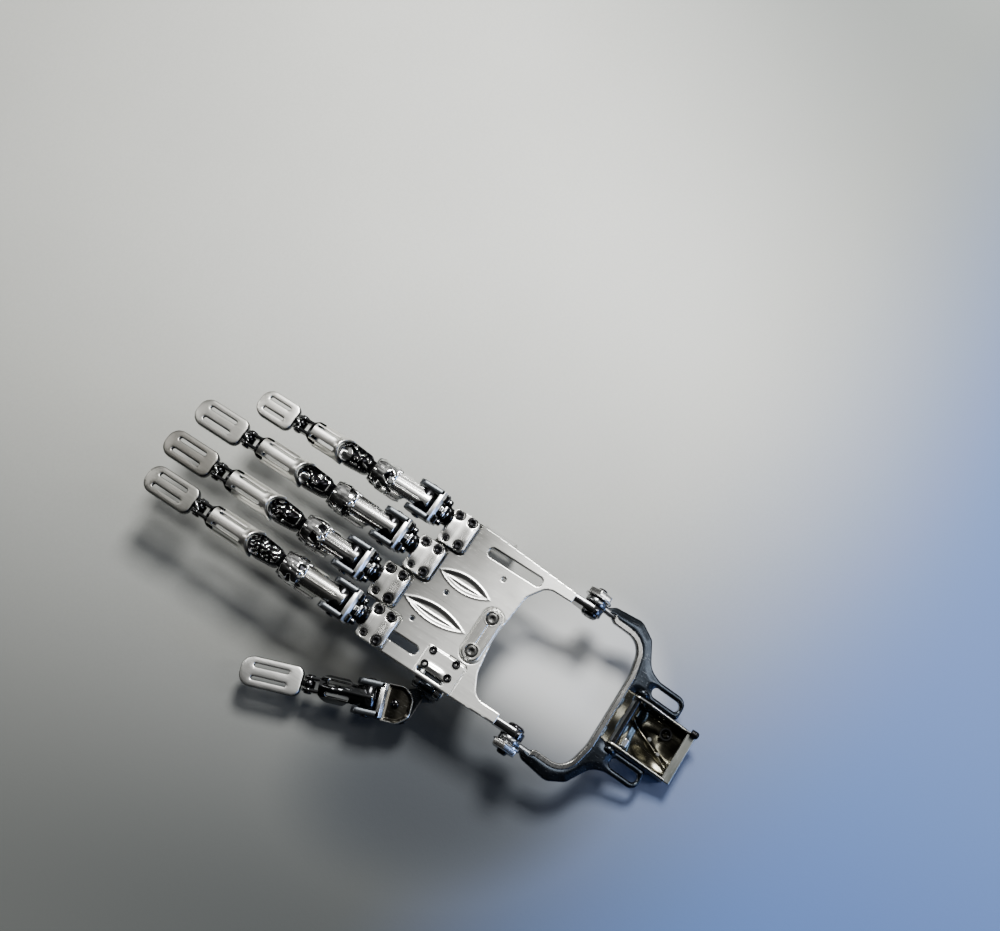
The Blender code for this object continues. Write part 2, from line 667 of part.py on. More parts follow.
def tip_plate(name, length, at, parent, half_w=TIP_HALF_W):
    corners = [
        (half_w, TIP_START, 3.6 * MM),
        (half_w, length, 5.6 * MM),
        (-half_w, length, 5.6 * MM),
        (-half_w, TIP_START, 3.6 * MM),
    ]
    slot_l = (length - TIP_START) * 0.56
    centre = (length + TIP_START) / 2
    slots = [slot(sx * TIP_SLOT_X, centre, TIP_SLOT_W, slot_l, 3) for sx in (1, -1)]
    piece = sheet(name + "_tip_plate", [rounded(corners, 4)] + slots, -TIP_T / 2, TIP_T / 2)
    join(
        piece,
        rod(name + "_tip_eye", 2.6 * MM, -1.6 * MM, 1.6 * MM, "x"),
        box(name + "_tip_tongue", (-1.6 * MM, 0.5 * MM, -1.1 * MM), (1.6 * MM, TIP_START + 1 * MM, 1.0 * MM)),
    )
    cut(piece, rod(name + "_tip_bore", PIN_HOLE_R, -6 * MM, 6 * MM, "x", (0, 0, 0), SMALL))
    return place(piece, TIP_GREY, at, parent)


def finger(name, data, root):
    mount_x, mount_y, line_x, proximal, middle, tip = (value * MM for value in data)
    finger_mount(name, data, root)
    screws = screw_places(SCREW_PITCH_X, SCREW_PITCH_Y)
    screw_set(name + "_mount_screws", (mount_x, mount_y, PLATE_TOP), GAP + MOUNT_T, screws, root)
    swivel = (line_x, mount_y + SWIVEL_Y, PLATE_TOP)
    swivel_pin(name + "_swivel_pin", swivel, root, 0, 3 * GAP + MOUNT_T + 2.6 * MM)
    fork = knuckle_fork(name, swivel, root)
    cross_pin(name + "_knuckle_pin", FORK_W / 2, (0, KNUCKLE_Y, KNUCKLE_Z), fork)
    link = proximal_link(name, proximal, fork)
    middle_at = (0, proximal, -MIDDLE_DROP)
    cross_pin(name + "_middle_pin", CHEEK_OUT, middle_at, link)
    plate = middle_link(name, middle, middle_at, link)
    tip_at = (0, middle, -TIP_DROP)
    cross_pin(name + "_tip_pin", NECK_OUT, tip_at, plate)
    tip_plate(name, tip, tip_at, plate)


# ---- thumb ----

def thumb(root):
    outward = math.radians(THUMB_YAW)
    ahead = (-math.sin(outward), math.cos(outward))
    swivel = (
        THUMB_KNUCKLE[0] - ahead[0] * THUMB_SWIVEL_BACK,
        THUMB_KNUCKLE[1] - ahead[1] * THUMB_SWIVEL_BACK,
    )
    axis_z = THUMB_KNUCKLE[2]
    disc_low = axis_z - PRONG_H / 2
    thumb_mount(root)
    mount_low = -PLATE_T - GAP - THUMB_MOUNT_H
    places = screw_places(*THUMB_SCREW_PITCH)
    screw_set("thumb_mount_screws", (*THUMB_SCREWS, PLATE_TOP), 0, places, root, mount_low)
    ear_end = THUMB_BARREL_L / 2 + GAP + 3 * MM
    pin = turned("thumb_base_pin", pin_profile(-ear_end - GAP, ear_end + GAP), "y")
    place(pin, BRIGHT, THUMB_HINGE, root)
    arm = thumb_arm(swivel, disc_low - GAP, root)
    post = bpy.data.objects.new("thumb_swivel", None)
    bpy.data.collections["prosthetic_hand"].objects.link(post)
    post.parent = arm
    post.location = (swivel[0] - THUMB_HINGE[0], swivel[1] - THUMB_HINGE[1], -THUMB_HINGE[2])
    post.rotation_euler = (0, 0, outward)
    fork = thumb_fork(disc_low, axis_z, post)
    swivel_pin("thumb_swivel_pin", (0, 0, 0), post, THUMB_PIN_LOW, disc_low + 2.6 * MM + GAP)
    knuckle_at = (0, THUMB_SWIVEL_BACK, axis_z)
    cross_pin("thumb_knuckle_pin", FORK_W / 2, knuckle_at, fork)
    link = thumb_link(knuckle_at, fork)
    tip_at = (0, THUMB_LINK_L, -TIP_DROP)
    cross_pin("thumb_tip_pin", NECK_OUT, tip_at, link)
    tip_plate("thumb", THUMB_TIP_L, tip_at, link)


def thumb_mount(root):
    """The block under the palm that carries the thumb's base hinge."""
    top = -PLATE_T - GAP
    low = top - THUMB_MOUNT_H
    half = THUMB_BARREL_L / 2
    hinge_x = THUMB_HINGE[0] - THUMB_SCREWS[0]
    hinge_z = THUMB_HINGE[2] - PLATE_TOP
    block = box("thumb_mount", (-5.8 * MM, -8.5 * MM, low), (6.2 * MM, 8.5 * MM, top))
    for side, start in (("front", half + GAP), ("back", -half - GAP - 3 * MM)):
        ear = [(-5 * MM, low), (-5 * MM, top)] + arc(hinge_x, hinge_z, THUMB_BARREL_R, 100, 260, 8)
        join(block, sheet("thumb_ear_" + side, [ear], start, start + 3 * MM, "y"))
    for i, (x, y) in enumerate(screw_places(*THUMB_SCREW_PITCH)):
        bore = rod(f"thumb_mount_bore_{i}", SCREW_R + GAP, low - 1 * MM, top + 1 * MM, "z", (x, y, 0), SCREW)
        cut(block, bore)
    pin_line = (hinge_x, 0, hinge_z)
    cut(block, rod("thumb_mount_pin_bore", PIN_HOLE_R, -12 * MM, 12 * MM, "y", pin_line, SMALL))
    return place(block, GUNMETAL, (THUMB_SCREWS[0], THUMB_SCREWS[1], PLATE_TOP), root)


def thumb_arm(swivel, top, root):
    """The arm: a barrel on the base hinge, a web down to a foot on the floor, and the fork's post."""
    hx, hy, hz = THUMB_HINGE
    sx, sy = swivel[0] - hx, swivel[1] - hy
    half = THUMB_BARREL_L / 2
    arm = rod("thumb_arm", THUMB_BARREL_R, -half, half, "y")
    web = [(1.5 * MM, -1 * MM), (-2.6 * MM, -1 * MM), (-2.6 * MM, -hz), (1.2 * MM, -hz)]
    foot_t = 2.4 * MM
    pin_low = THUMB_PIN_LOW - hz
    foot = rounded(
        [
            (1.2 * MM, -half, 0),
            (1.2 * MM, half, 0),
            (sx + 5 * MM, sy + 6 * MM, 3 * MM),
            (sx - 6 * MM, sy + 5 * MM, 4 * MM),
            (sx - 6 * MM, sy - 6 * MM, 4 * MM),
        ]
    )
    join(
        arm,
        sheet("thumb_web", [web], -half, half, "y"),
        sheet("thumb_foot", [foot], -hz, -hz + foot_t),
        rod("thumb_post", 5.2 * MM, -hz + 1 * MM, top - hz, "z", (sx, sy, 0)),
    )
    cut(
        arm,
        rod("thumb_arm_pin_bore", PIN_HOLE_R, -12 * MM, 12 * MM, "y", (0, 0, 0), SMALL),
        rod("thumb_post_bore", PIN_HOLE_R, pin_low - 1 * MM, top, "z", (sx, sy, 0), SMALL),
        rod("thumb_post_pocket", PIN_HEAD_R + GAP, -hz - 1 * MM, pin_low + GAP, "z", (sx, sy, 0), SMALL),
    )
    return place(arm, GUNMETAL, THUMB_HINGE, root)


def thumb_fork(disc_low, axis_z, post):
    """The thumb's fork: a round swivel disc with a crossbar and two prongs."""
    half = FORK_W / 2
    bar = THUMB_SWIVEL_BACK - KNUCKLE_Y + BAR_Y
    piece = sheet("thumb_fork", [ring(0, 0, THUMB_DISC_R, 24)], disc_low, disc_low + 2.6 * MM)
    top = axis_z + PRONG_H / 2
    end = bar + PRONG_END_Y - BAR_Y
    join(
        piece,
        box("thumb_fork_bar", (-half, bar, disc_low), (half, bar + BAR_T, top)),
        fork_prong("thumb_prong_right", 1, half, bar + 1 * MM, end, axis_z, PRONG_H, PRONG_T),
        fork_prong("thumb_prong_left", -1, half, bar + 1 * MM, end, axis_z, PRONG_H, PRONG_T),
    )
    at = (0, THUMB_SWIVEL_BACK, axis_z)
    cut(
        piece,
        rod("thumb_fork_swivel_bore", PIN_HOLE_R, disc_low - 1 * MM, top + 1 * MM, "z", (0, 0, 0), SMALL),
        rod("thumb_fork_knuckle_bore", PIN_HOLE_R, -half * 1.5, half * 1.5, "x", at, SMALL),
    )
    return place(piece, CHROME, (0, 0, 0), post)


def thumb_link(at, parent):
    """The thumb's link: a slotted half tube with an eye behind and a neck fork ahead."""
    narrow = FORK_W / 2 - PRONG_T - GAP
    end = THUMB_LINK_L - 4.5 * MM
    cover = arch("thumb_link", LINK_HALF_W, 4.0 * MM, -2.2 * MM, SHELL_T, -2 * MM, end)
    outline = rounded(root_outline(narrow) + neck_outline(end))
    slots = [slot(sx * 3.1 * MM, end / 2 + 3 * MM, 1.9 * MM, 10 * MM, 3) for sx in (1, -1)]
    keep_inside(cover, sheet("thumb_link_outline", [outline] + slots, -9 * MM, 9 * MM))
    join(
        cover,
        rod("thumb_link_eye", LINK_EYE_R, -narrow, narrow, "x"),
        box("thumb_link_web", (-1.9 * MM, 1 * MM, -1.8 * MM), (1.9 * MM, end - 1 * MM, 3.6 * MM)),
        box("thumb_neck_web", (-NECK_OUT, end - 4 * MM, -1.8 * MM), (NECK_OUT, end - 1 * MM, 2.6 * MM)),
    )
    join(cover, *neck_cheeks("thumb", end, THUMB_LINK_L))
    tip_at = (0, THUMB_LINK_L, -TIP_DROP)
    cut(
        cover,
        rod("thumb_link_knuckle_bore", PIN_HOLE_R, -9 * MM, 9 * MM, "x", (0, 0, 0), SMALL),
        rod("thumb_link_tip_bore", PIN_HOLE_R, -9 * MM, 9 * MM, "x", tip_at, SMALL),
    )
    return place(cover, CHROME, at, parent)


# ---- wrist ----

def wrist_yoke(root):
    """The bow behind the palm. Its own y runs along its slope, from the wrist bolts to the tail."""
    outer = [
        (YOKE_EAR_OUT, -6 * MM, 0),
        (YOKE_EAR_OUT + 2.2 * MM, -24 * MM, 8 * MM),
        (YOKE_EAR_OUT - 0.8 * MM, -31 * MM, 4 * MM),
        (TAIL_OUT + 2.5 * MM, -37.5 * MM, 9 * MM),
        (TAIL_OUT, -44 * MM, 9 * MM),
        (TAIL_OUT, TAIL_END, 4.5 * MM),
        (TAIL_IN, TAIL_END, 2 * MM),
        (TAIL_IN, TAIL_GAP_FRONT, 1.5 * MM),
    ]
    right = outer + [(-x, y, r) for x, y, r in reversed(outer)]
    inner = YOKE_INNER_HALF
    inner_edge = [
        (-LUG_OUT - GAP, -6 * MM, 0),
        (-LUG_OUT - GAP, -9.5 * MM, 1.5 * MM),
        (-inner, -12 * MM, 2 * MM),
        (-inner, YOKE_INNER_REAR + 3.5 * MM, 9 * MM),
        (-18 * MM, YOKE_INNER_REAR, 20 * MM),
        (18 * MM, YOKE_INNER_REAR, 20 * MM),
        (inner, YOKE_INNER_REAR + 3.5 * MM, 9 * MM),
        (inner, -12 * MM, 2 * MM),
        (LUG_OUT + GAP, -9.5 * MM, 1.5 * MM),
        (LUG_OUT + GAP, -6 * MM, 0),
    ]
    outline = rounded(right + inner_edge)
    straps = [slot(sx * (TAIL_IN + TAIL_OUT) / 2, -50.7 * MM, 4.6 * MM, 15 * MM) for sx in (1, -1)]
    yoke = sheet("wrist_yoke", [outline] + straps, -YOKE_T / 2, YOKE_T / 2)
    for side, low, high in (
        ("right", LUG_OUT + GAP, YOKE_EAR_OUT),
        ("left", -YOKE_EAR_OUT, -LUG_OUT - GAP),
    ):
        ear = [(-13 * MM, -YOKE_T / 2)] + arc(0, 0, 5 * MM, -100, 100, 8) + [(-13 * MM, YOKE_T / 2)]
        join(yoke, sheet("yoke_ear_" + side, [ear], low, high, "x"))
    pin_line = (0, CLEVIS_PIN_Y, 0)
    for side, low, high in (("right", TAIL_IN, TAIL_BOSS_OUT), ("left", -TAIL_BOSS_OUT, -TAIL_IN)):
        join(yoke, rod("tail_boss_" + side, 3.4 * MM, low, high, "x", pin_line))
    cut(
        yoke,
        rod("yoke_bolt_bore", BOLT_R + GAP, -45 * MM, 45 * MM, "x"),
        rod("yoke_pin_bore", PIN_HOLE_R, -TAIL_IN - 4 * MM, TAIL_IN + 4 * MM, "x", pin_line, SMALL),
    )
    pocket = PIN_HEAD_R + GAP
    for side, low in (("right", TAIL_BOSS_OUT), ("left", -TAIL_BOSS_OUT - 1.3 * MM)):
        cut(yoke, rod("tail_pocket_" + side, pocket, low, low + 1.3 * MM, "x", pin_line, SMALL))
    place(yoke, GUNMETAL, (WRIST_X, HINGE_Y, HINGE_Z), root)
    yoke.rotation_euler = (math.radians(YOKE_TILT), 0, 0)
    return yoke


def wrist_fasteners(root):
    for side, sign in (("right", 1), ("left", -1)):
        start = LUG_IN - GAP
        end = YOKE_EAR_OUT + GAP + NUT_T
        profile = [
            (0.0, start - 1.6 * MM),
            (3.2 * MM, start - 1.6 * MM),
            (4.0 * MM, start - 0.8 * MM),
            (4.0 * MM, start),
            (BOLT_R, start),
            (BOLT_R, end + 0.8 * MM),
            (BOLT_R * 0.7, end + 1.6 * MM),
            (0.0, end + 1.6 * MM),
        ]
        bolt = turned("wrist_bolt_" + side, [(r, sign * x) for r, x in profile], "x", 16)
        place(bolt, CHROME, (WRIST_X, HINGE_Y, HINGE_Z), root)
        face = YOKE_EAR_OUT + GAP
        low, high = sorted((sign * face, sign * (face + NUT_T)))
        nut = rod("wrist_nut_" + side, NUT_R, low, high, "x", (0, 0, 0), 6)
        washer_low, washer_high = sorted((sign * face, sign * (face + 1.0 * MM)))
        join(nut, rod("washer_" + side, 6.4 * MM, washer_low, washer_high, "x"))
        cut(nut, rod("nut_bore_" + side, BOLT_R + GAP, -60 * MM, 60 * MM, "x", (0, 0, 0), 16))
        place(nut, BRIGHT, (WRIST_X, HINGE_Y, HINGE_Z), root)


def wrist_clevis(root):
    """The level trough behind the yoke that takes the forearm."""
    tilt = math.radians(YOKE_TILT)
    pin_y = HINGE_Y + CLEVIS_PIN_Y * math.cos(tilt)
    pin_z = HINGE_Z + CLEVIS_PIN_Y * math.sin(tilt)
    rear = CLEVIS_REAR - pin_y
    floor = -pin_z
    half = TAIL_IN - 0.5 * MM
    side = [(-4 * MM, 3.6 * MM)] + arc(0, 0, 3.6 * MM, 90, 0, 4)
    side += [(3.2 * MM, -6 * MM), (-3 * MM, floor), (rear, floor), (rear, floor + 10 * MM)]
    trough = sheet("wrist_clevis", [side], -half, half, "x")
    wall = CLEVIS_WALL
    hollow = [
        (5 * MM, 6 * MM),
        (5 * MM, floor + 6.5 * MM),
        (-3 * MM, floor + wall),
        (rear + wall, floor + wall),
        (rear + wall, 6 * MM),
    ]
    cut(trough, sheet("clevis_hollow", [hollow], -half + wall, half - wall, "x"))
    lip_low = floor + 10 * MM - 1.5 * MM
    join(
        trough,
        box("clevis_lip", (-half, rear - 2.6 * MM, lip_low), (half, rear + wall, floor + 10 * MM)),
    )
    cut(trough, rod("clevis_pin_bore", PIN_HOLE_R, -20 * MM, 20 * MM, "x", (0, 0, 0), SMALL))
    place(trough, CHROME, (WRIST_X, pin_y, pin_z), root)
    pin = turned("clevis_pin", pin_profile(-TAIL_BOSS_OUT - GAP, TAIL_BOSS_OUT + GAP), "x")
    place(pin, BRIGHT, (WRIST_X, pin_y, pin_z), root)


def main():
    clear_scene()
    root = bpy.data.objects.new("hand", None)
    bpy.data.collections["prosthetic_hand"].objects.link(root)
    root.location = (*PALM_AT, 0)
    back_plate(root)
    anchor_bar(root)
    for name, data in FINGERS.items():
        finger(name, data, root)
    thumb(root)
    wrist_yoke(root)
    wrist_fasteners(root)
    wrist_clevis(root)


main()
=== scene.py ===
"""Looks of the articulated metal prosthetic hand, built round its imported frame.

Lengths in this file are millimetres until a piece is made, and metres from there on.
"""

import json
import math

import bmesh
import bpy
import numpy as np
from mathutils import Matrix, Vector


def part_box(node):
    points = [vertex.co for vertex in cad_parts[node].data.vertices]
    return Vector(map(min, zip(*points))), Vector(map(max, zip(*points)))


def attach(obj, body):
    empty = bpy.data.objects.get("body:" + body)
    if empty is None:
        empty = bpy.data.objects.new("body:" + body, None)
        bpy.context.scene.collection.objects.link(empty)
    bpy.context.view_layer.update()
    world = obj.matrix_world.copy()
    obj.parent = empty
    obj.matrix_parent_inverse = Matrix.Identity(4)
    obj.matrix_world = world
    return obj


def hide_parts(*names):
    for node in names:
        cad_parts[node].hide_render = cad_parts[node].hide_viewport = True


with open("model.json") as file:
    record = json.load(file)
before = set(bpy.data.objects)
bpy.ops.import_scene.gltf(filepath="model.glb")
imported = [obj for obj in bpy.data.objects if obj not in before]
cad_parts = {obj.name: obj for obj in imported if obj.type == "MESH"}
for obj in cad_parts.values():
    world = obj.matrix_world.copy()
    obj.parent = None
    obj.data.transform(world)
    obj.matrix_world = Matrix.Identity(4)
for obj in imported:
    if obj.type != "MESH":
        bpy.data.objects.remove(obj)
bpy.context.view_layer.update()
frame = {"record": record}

MM = 0.001
BODY = {node: body for body, nodes in frame["record"]["behaviour"]["bodies"].items() for node in nodes}
FINGERS = ("index", "middle", "ring", "little")


# ---- where the frame puts things, in millimetres ----

def corners_of(node):
    low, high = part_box(node)
    return np.array(low) / MM, np.array(high) / MM


def centre_of(node):
    low, high = corners_of(node)
    return (low + high) / 2


ANCHOR = np.array([-6.95, -18.75, 0.0])  # middle of the anchor bar, from the palm's own origin
PALM_RIGHT = 36.0  # back plate's right edge, from the same origin
PLATE_TOP = corners_of("back_plate")[1][2]
PALM = centre_of("anchor_bar") * (1, 1, 0) - ANCHOR


# ---- fields: signed distance in a plate's own plane, positive inside ----

def box_field(cu, cv, width, length, radius):
    """Distance in from a rounded rectangle: its corner circles outside the core, straight sides elsewhere."""

    def field(u, v):
        qu = np.abs(u - cu) - width / 2 + radius
        qv = np.abs(v - cv) - length / 2 + radius
        return radius - np.hypot(np.maximum(qu, 0), np.maximum(qv, 0)) - np.minimum(np.maximum(qu, qv), 0)

    return field


def slot_field(cu, cv, width, length):
    """Distance in from an obround, long in v."""
    return box_field(cu, cv, width, length, min(width, length) / 2)


def disc_field(cu, cv, radius):
    """Distance in from a circle: its radius less the distance from its centre."""
    return lambda u, v: radius - np.hypot(u - cu, v - cv)


def rounded(corners, steps=8):
    """A closed outline from corners (u, v, radius): each corner is an arc that touches its two sides."""
    outline = []
    for i, (x, y, radius) in enumerate(corners):
        if radius == 0:
            outline.append((x, y))
            continue
        px, py, _ = corners[i - 1]
        nx, ny, _ = corners[(i + 1) % len(corners)]
        before = math.atan2(py - y, px - x)
        after = math.atan2(ny - y, nx - x)
        half = abs(math.atan2(math.sin(after - before), math.cos(after - before))) / 2
        middle = math.atan2(math.sin(before) + math.sin(after), math.cos(before) + math.cos(after))
        cx = x + radius / math.sin(half) * math.cos(middle)
        cy = y + radius / math.sin(half) * math.sin(middle)
        back = radius / math.tan(half)
        first = math.atan2(y + back * math.sin(before) - cy, x + back * math.cos(before) - cx)
        last = math.atan2(y + back * math.sin(after) - cy, x + back * math.cos(after) - cx)
        sweep = math.atan2(math.sin(last - first), math.cos(last - first))
        turns = first + sweep * np.linspace(0, 1, steps + 1)
        outline += list(zip(cx + radius * np.cos(turns), cy + radius * np.sin(turns)))
    return np.array(outline)


def outline_field(corners, steps=8):
    """Distance in from a rounded polygon: the nearest side's, signed by how many sides a ray crosses."""
    points = rounded(corners, steps)

    def field(u, v):
        near = np.full(np.shape(u), 1e9)
        inside = np.zeros(np.shape(u), bool)
        for (au, av), (bu, bv) in zip(points, np.roll(points, -1, axis=0)):
            eu, ev = bu - au, bv - av
            long = eu * eu + ev * ev
            if long < 1e-12:
                continue
            t = np.clip(((u - au) * eu + (v - av) * ev) / long, 0, 1)
            near = np.minimum(near, np.hypot(u - au - t * eu, v - av - t * ev))
            if av != bv:
                inside ^= ((av > v) != (bv > v)) & (u < (v - av) * eu / ev + au)
        return np.where(inside, near, -near)

    return field


def mirrored(half):
    """The corners of a shape that is alike left and right, from its right half's corners in order."""
    return half + [(-x, y, radius) for x, y, radius in reversed(half)]


def without(field, *holes):
    """The field less its holes: the smallest of the field and each hole's distance, turned outside in."""
    return lambda u, v: np.minimum.reduce([field(u, v)] + [-hole(u, v) for hole in holes])


def together(*fields):
    """Union of fields: the largest distance."""
    return lambda u, v: np.maximum.reduce([field(u, v) for field in fields])


def band(field, width):
    """The strip of this width just inside a field's outline."""
    return lambda u, v: np.minimum(field(u, v), width - field(u, v))


def smooth(x):
    """0 below 0, 1 above 1 and the cubic 3x^2 - 2x^3 between."""
    x = np.clip(x, 0, 1)
    return x * x * (3 - 2 * x)


# ---- ways to turn a plate's u, v and thickness w into x, y, z ----

def lying(u, v, w):
    return u, v, w


def across(u, v, w):
    """Stands across the hand: the outline is (y, z) and the thickness runs along x."""
    return w, u, v


def upright(u, v, w):
    """Stands along the hand's width: the outline is (x, z) and the thickness runs along y."""
    return u, w, v


def tube_bend(half_width, crown, side):
    """Wraps a plate over a half tube: u is arc length on the circle through both sides and the crown."""
    rise = crown - side
    radius = (half_width**2 + rise**2) / (2 * rise)

    def bend(u, v, w):
        return (radius + w) * np.sin(u / radius), v, crown - radius + (radius + w) * np.cos(u / radius)

    bend.radius = radius
    bend.reach = radius * math.acos((side - crown + radius) / radius)
    return bend


# ---- surfaces: each is (points, four-sided faces, edge mark), the mark being 1 on an edge and 0 well inside; rubbed edges on most pieces, painted light and shade on some ----

WEAR_WIDTH = 0.4


def plate(field, extent, low, high, edge=0.25, relief=None, bend=lying, step=0.3,
          fine_u=(), fine_v=(), mark=None):
    """A closed plate over the grid cells that lie inside a field.

    Rim points move down the field's slope onto its zero line. Both faces fall by a quarter-round
    edge - sqrt(edge^2 - (edge - d)^2) within edge of the rim, the top adds relief(u, v, d), and a wall joins
    them.
    The edge mark is exp(-d / WEAR_WIDTH), or mark(u, v, d) on the top where one is given; it stands for rubbed
    edges on most pieces and for painted light and shade on some.
    """
    u0, u1, v0, v1 = extent
    us = np.unique(np.concatenate([np.linspace(u0, u1, round((u1 - u0) / step) + 2), fine_u]))
    vs = np.unique(np.concatenate([np.linspace(v0, v1, round((v1 - v0) / step) + 2), fine_v]))
    uu, vv = np.meshgrid(us, vs, indexing="ij")
    keep = field((uu[1:, 1:] + uu[:-1, :-1]) / 2, (vv[1:, 1:] + vv[:-1, :-1]) / 2) > 0
    kept_round = np.zeros(uu.shape, int)
    kept_round[:-1, :-1] += keep
    kept_round[1:, :-1] += keep
    kept_round[:-1, 1:] += keep
    kept_round[1:, 1:] += keep
    used = kept_round > 0
    rim = (kept_round < 4)[used]
    u, v = uu[used], vv[used]
    ru, rv = u[rim], v[rim]
    small = 0.01
    for _ in range(4):
        du = (field(ru + small, rv) - field(ru - small, rv)) / (2 * small)
        dv = (field(ru, rv + small) - field(ru, rv - small)) / (2 * small)
        d = np.clip(field(ru, rv), -step, step)
        slope = np.maximum(du * du + dv * dv, 0.25)
        ru, rv = ru - d * du / slope, rv - d * dv / slope
    u[rim], v[rim] = ru, rv
    depth = np.where(rim, 0.0, np.maximum(field(u, v), 0.0))
    fall = edge - np.sqrt(np.maximum(edge**2 - np.maximum(edge - depth, 0) ** 2, 0))
    top = high - fall + (0 if relief is None else relief(u, v, depth))
    bottom = low + fall
    points = np.concatenate([np.stack(bend(u, v, top), 1), np.stack(bend(u, v, bottom), 1)])
    number = np.full(uu.shape, -1)
    number[used] = np.arange(len(u))
    i, j = np.nonzero(keep)
    faces = np.stack([number[i, j], number[i + 1, j], number[i + 1, j + 1], number[i, j + 1]], 1)
    padded = np.pad(keep, 1)
    walls = []
    for step_i, step_j, a, b in ((0, -1, 0, 1), (1, 0, 1, 2), (0, 1, 2, 3), (-1, 0, 3, 0)):
        beside = padded[1 + step_i : 1 + step_i + keep.shape[0], 1 + step_j : 1 + step_j + keep.shape[1]]
        edge_faces = faces[(keep & ~beside)[i, j]]
        start, end = edge_faces[:, a], edge_faces[:, b]
        walls.append(np.stack([end, start, start + len(u), end + len(u)], 1))
    wear_and_painted_light = np.exp(-depth / WEAR_WIDTH)
    top_wear_and_painted_light = wear_and_painted_light if mark is None else mark(u, v, depth)
    return points, np.concatenate([faces, faces[:, ::-1] + len(u)] + walls), np.concatenate([top_wear_and_painted_light, wear_and_painted_light])


def grid_faces(rows, columns):
    """Four-sided faces of a rows by columns grid whose columns close up into rings."""
    this_row = np.arange(rows - 1)[:, None] * columns
    next_row = this_row + columns
    c = np.arange(columns)[None, :]
    after = (c + 1) % columns
    return np.stack([this_row + c, this_row + after, next_row + after, next_row + c], -1).reshape(-1, 4)


def turned(profile, along="z", at=(0, 0, 0), sides=36, six=()):
    """A profile of (radius, place) turned round an axis.

    In the rows listed in six the radius becomes r cos 30 / cos(angle to the nearest flat), a hexagon.
    """
    profile = np.array(profile, float)
    angle = np.arange(sides) * 2 * np.pi / sides
    hexagon = math.cos(math.pi / 6) / np.cos((angle + np.pi / 6) % (np.pi / 3) - np.pi / 6)
    radius = np.repeat(profile[:, :1], sides, 1)
    radius[list(six)] *= hexagon
    a, b = radius * np.cos(angle), radius * np.sin(angle)
    h = np.repeat(profile[:, 1:], sides, 1)
    order = {"x": (h, a, b), "y": (b, h, a), "z": (a, b, h)}[along]
    points = np.stack(order, -1).reshape(-1, 3) + np.array(at, float)
    return points, grid_faces(len(profile), sides), np.zeros(len(points))


def carried(path, radius, sides=12):
    """A round wire: a circle of this radius carried along a path, square to it, its ends drawn to a point."""
    path = np.array(path, float)
    ahead = np.gradient(path, axis=0)
    ahead /= np.linalg.norm(ahead, axis=1)[:, None]
    aside = np.cross(ahead, (0.31, 0.17, 0.94))
    aside /= np.linalg.norm(aside, axis=1)[:, None]
    over = np.cross(ahead, aside)
    angle = np.arange(sides) * 2 * np.pi / sides
    size = np.concatenate([[0.0], np.full(len(path), radius), [0.0]])
    path, aside, over = [np.concatenate([run[:1], run, run[-1:]]) for run in (path, aside, over)]
    circle = aside[:, None] * np.cos(angle)[:, None] + over[:, None] * np.sin(angle)[:, None]
    points = (path[:, None] + size[:, None, None] * circle).reshape(-1, 3)
    return points, grid_faces(len(path), sides), np.zeros(len(points))


def joined(*forms):
    """Several surfaces as one."""
    points, faces, wear_and_painted_light, start = [], [], [], 0
    for p, f, w in forms:
        points.append(p)
        faces.append(f + start)
        wear_and_painted_light.append(w)
        start += len(p)
    return np.concatenate(points), np.concatenate(faces), np.concatenate(wear_and_painted_light)


def seated(form, origin, yaw=0.0, tilt=0.0):
    """Tilts a surface about x, yaws it about z, both in radians, and moves its origin to a place."""
    points, faces, wear_and_painted_light = form
    x, y, z = points.T
    y, z = y * math.cos(tilt) - z * math.sin(tilt), y * math.sin(tilt) + z * math.cos(tilt)
    x, y = x * math.cos(yaw) - y * math.sin(yaw), x * math.sin(yaw) + y * math.cos(yaw)
    return np.stack([x, y, z], 1) + np.array(origin, float), faces, wear_and_painted_light


def block(low, high, edge=0.3, radius=0.5, step=0.35):
    """A box between two corners with rounded upright corners and softened edges."""
    cx, cy = (low[0] + high[0]) / 2, (low[1] + high[1]) / 2
    field = box_field(cx, cy, high[0] - low[0], high[1] - low[1], radius)
    return plate(field, (low[0], high[0], low[1], high[1]), low[2], high[2], edge, step=step)


def block_pair(low, high, edge=0.3, radius=0.5):
    """A box and its mirror image on the other side of x = 0, the mirror image first."""
    other = block((-high[0], *low[1:]), (-low[0], *high[1:]), edge, radius)
    return [other, block(low, high, edge, radius)]


def plate_pair(field, extent, inner, outer, edge, middle=0.0, bend=across, step=0.3):
    """The same standing plate on both sides of a middle plane, between these two distances from it."""
    places = ((middle + inner, middle + outer), (middle - outer, middle - inner))
    return [plate(field, extent, low, high, edge, bend=bend, step=step) for low, high in places]


def barrel(bore, radius, low, high, along="x", at=(0, 0, 0), chamfer=0.3, sides=36):
    """A bored cylinder with chamfered ends."""
    profile = [
        (bore, low),
        (radius - chamfer, low),
        (radius, low + chamfer),
        (radius, high - chamfer),
        (radius - chamfer, high),
        (bore, high),
        (bore, low),
    ]
    return turned(profile, along, at, sides)


def small_rod(radius, half, at, sides):
    """A short rod across the hand with softened ends."""
    profile = [
        (0, -half),
        (radius - 0.15, -half),
        (radius, 0.3 - half),
        (radius, half - 0.3),
        (radius - 0.15, half),
        (0, half),
    ]
    return turned(profile, "x", at, sides)


SHARP = math.radians(48)


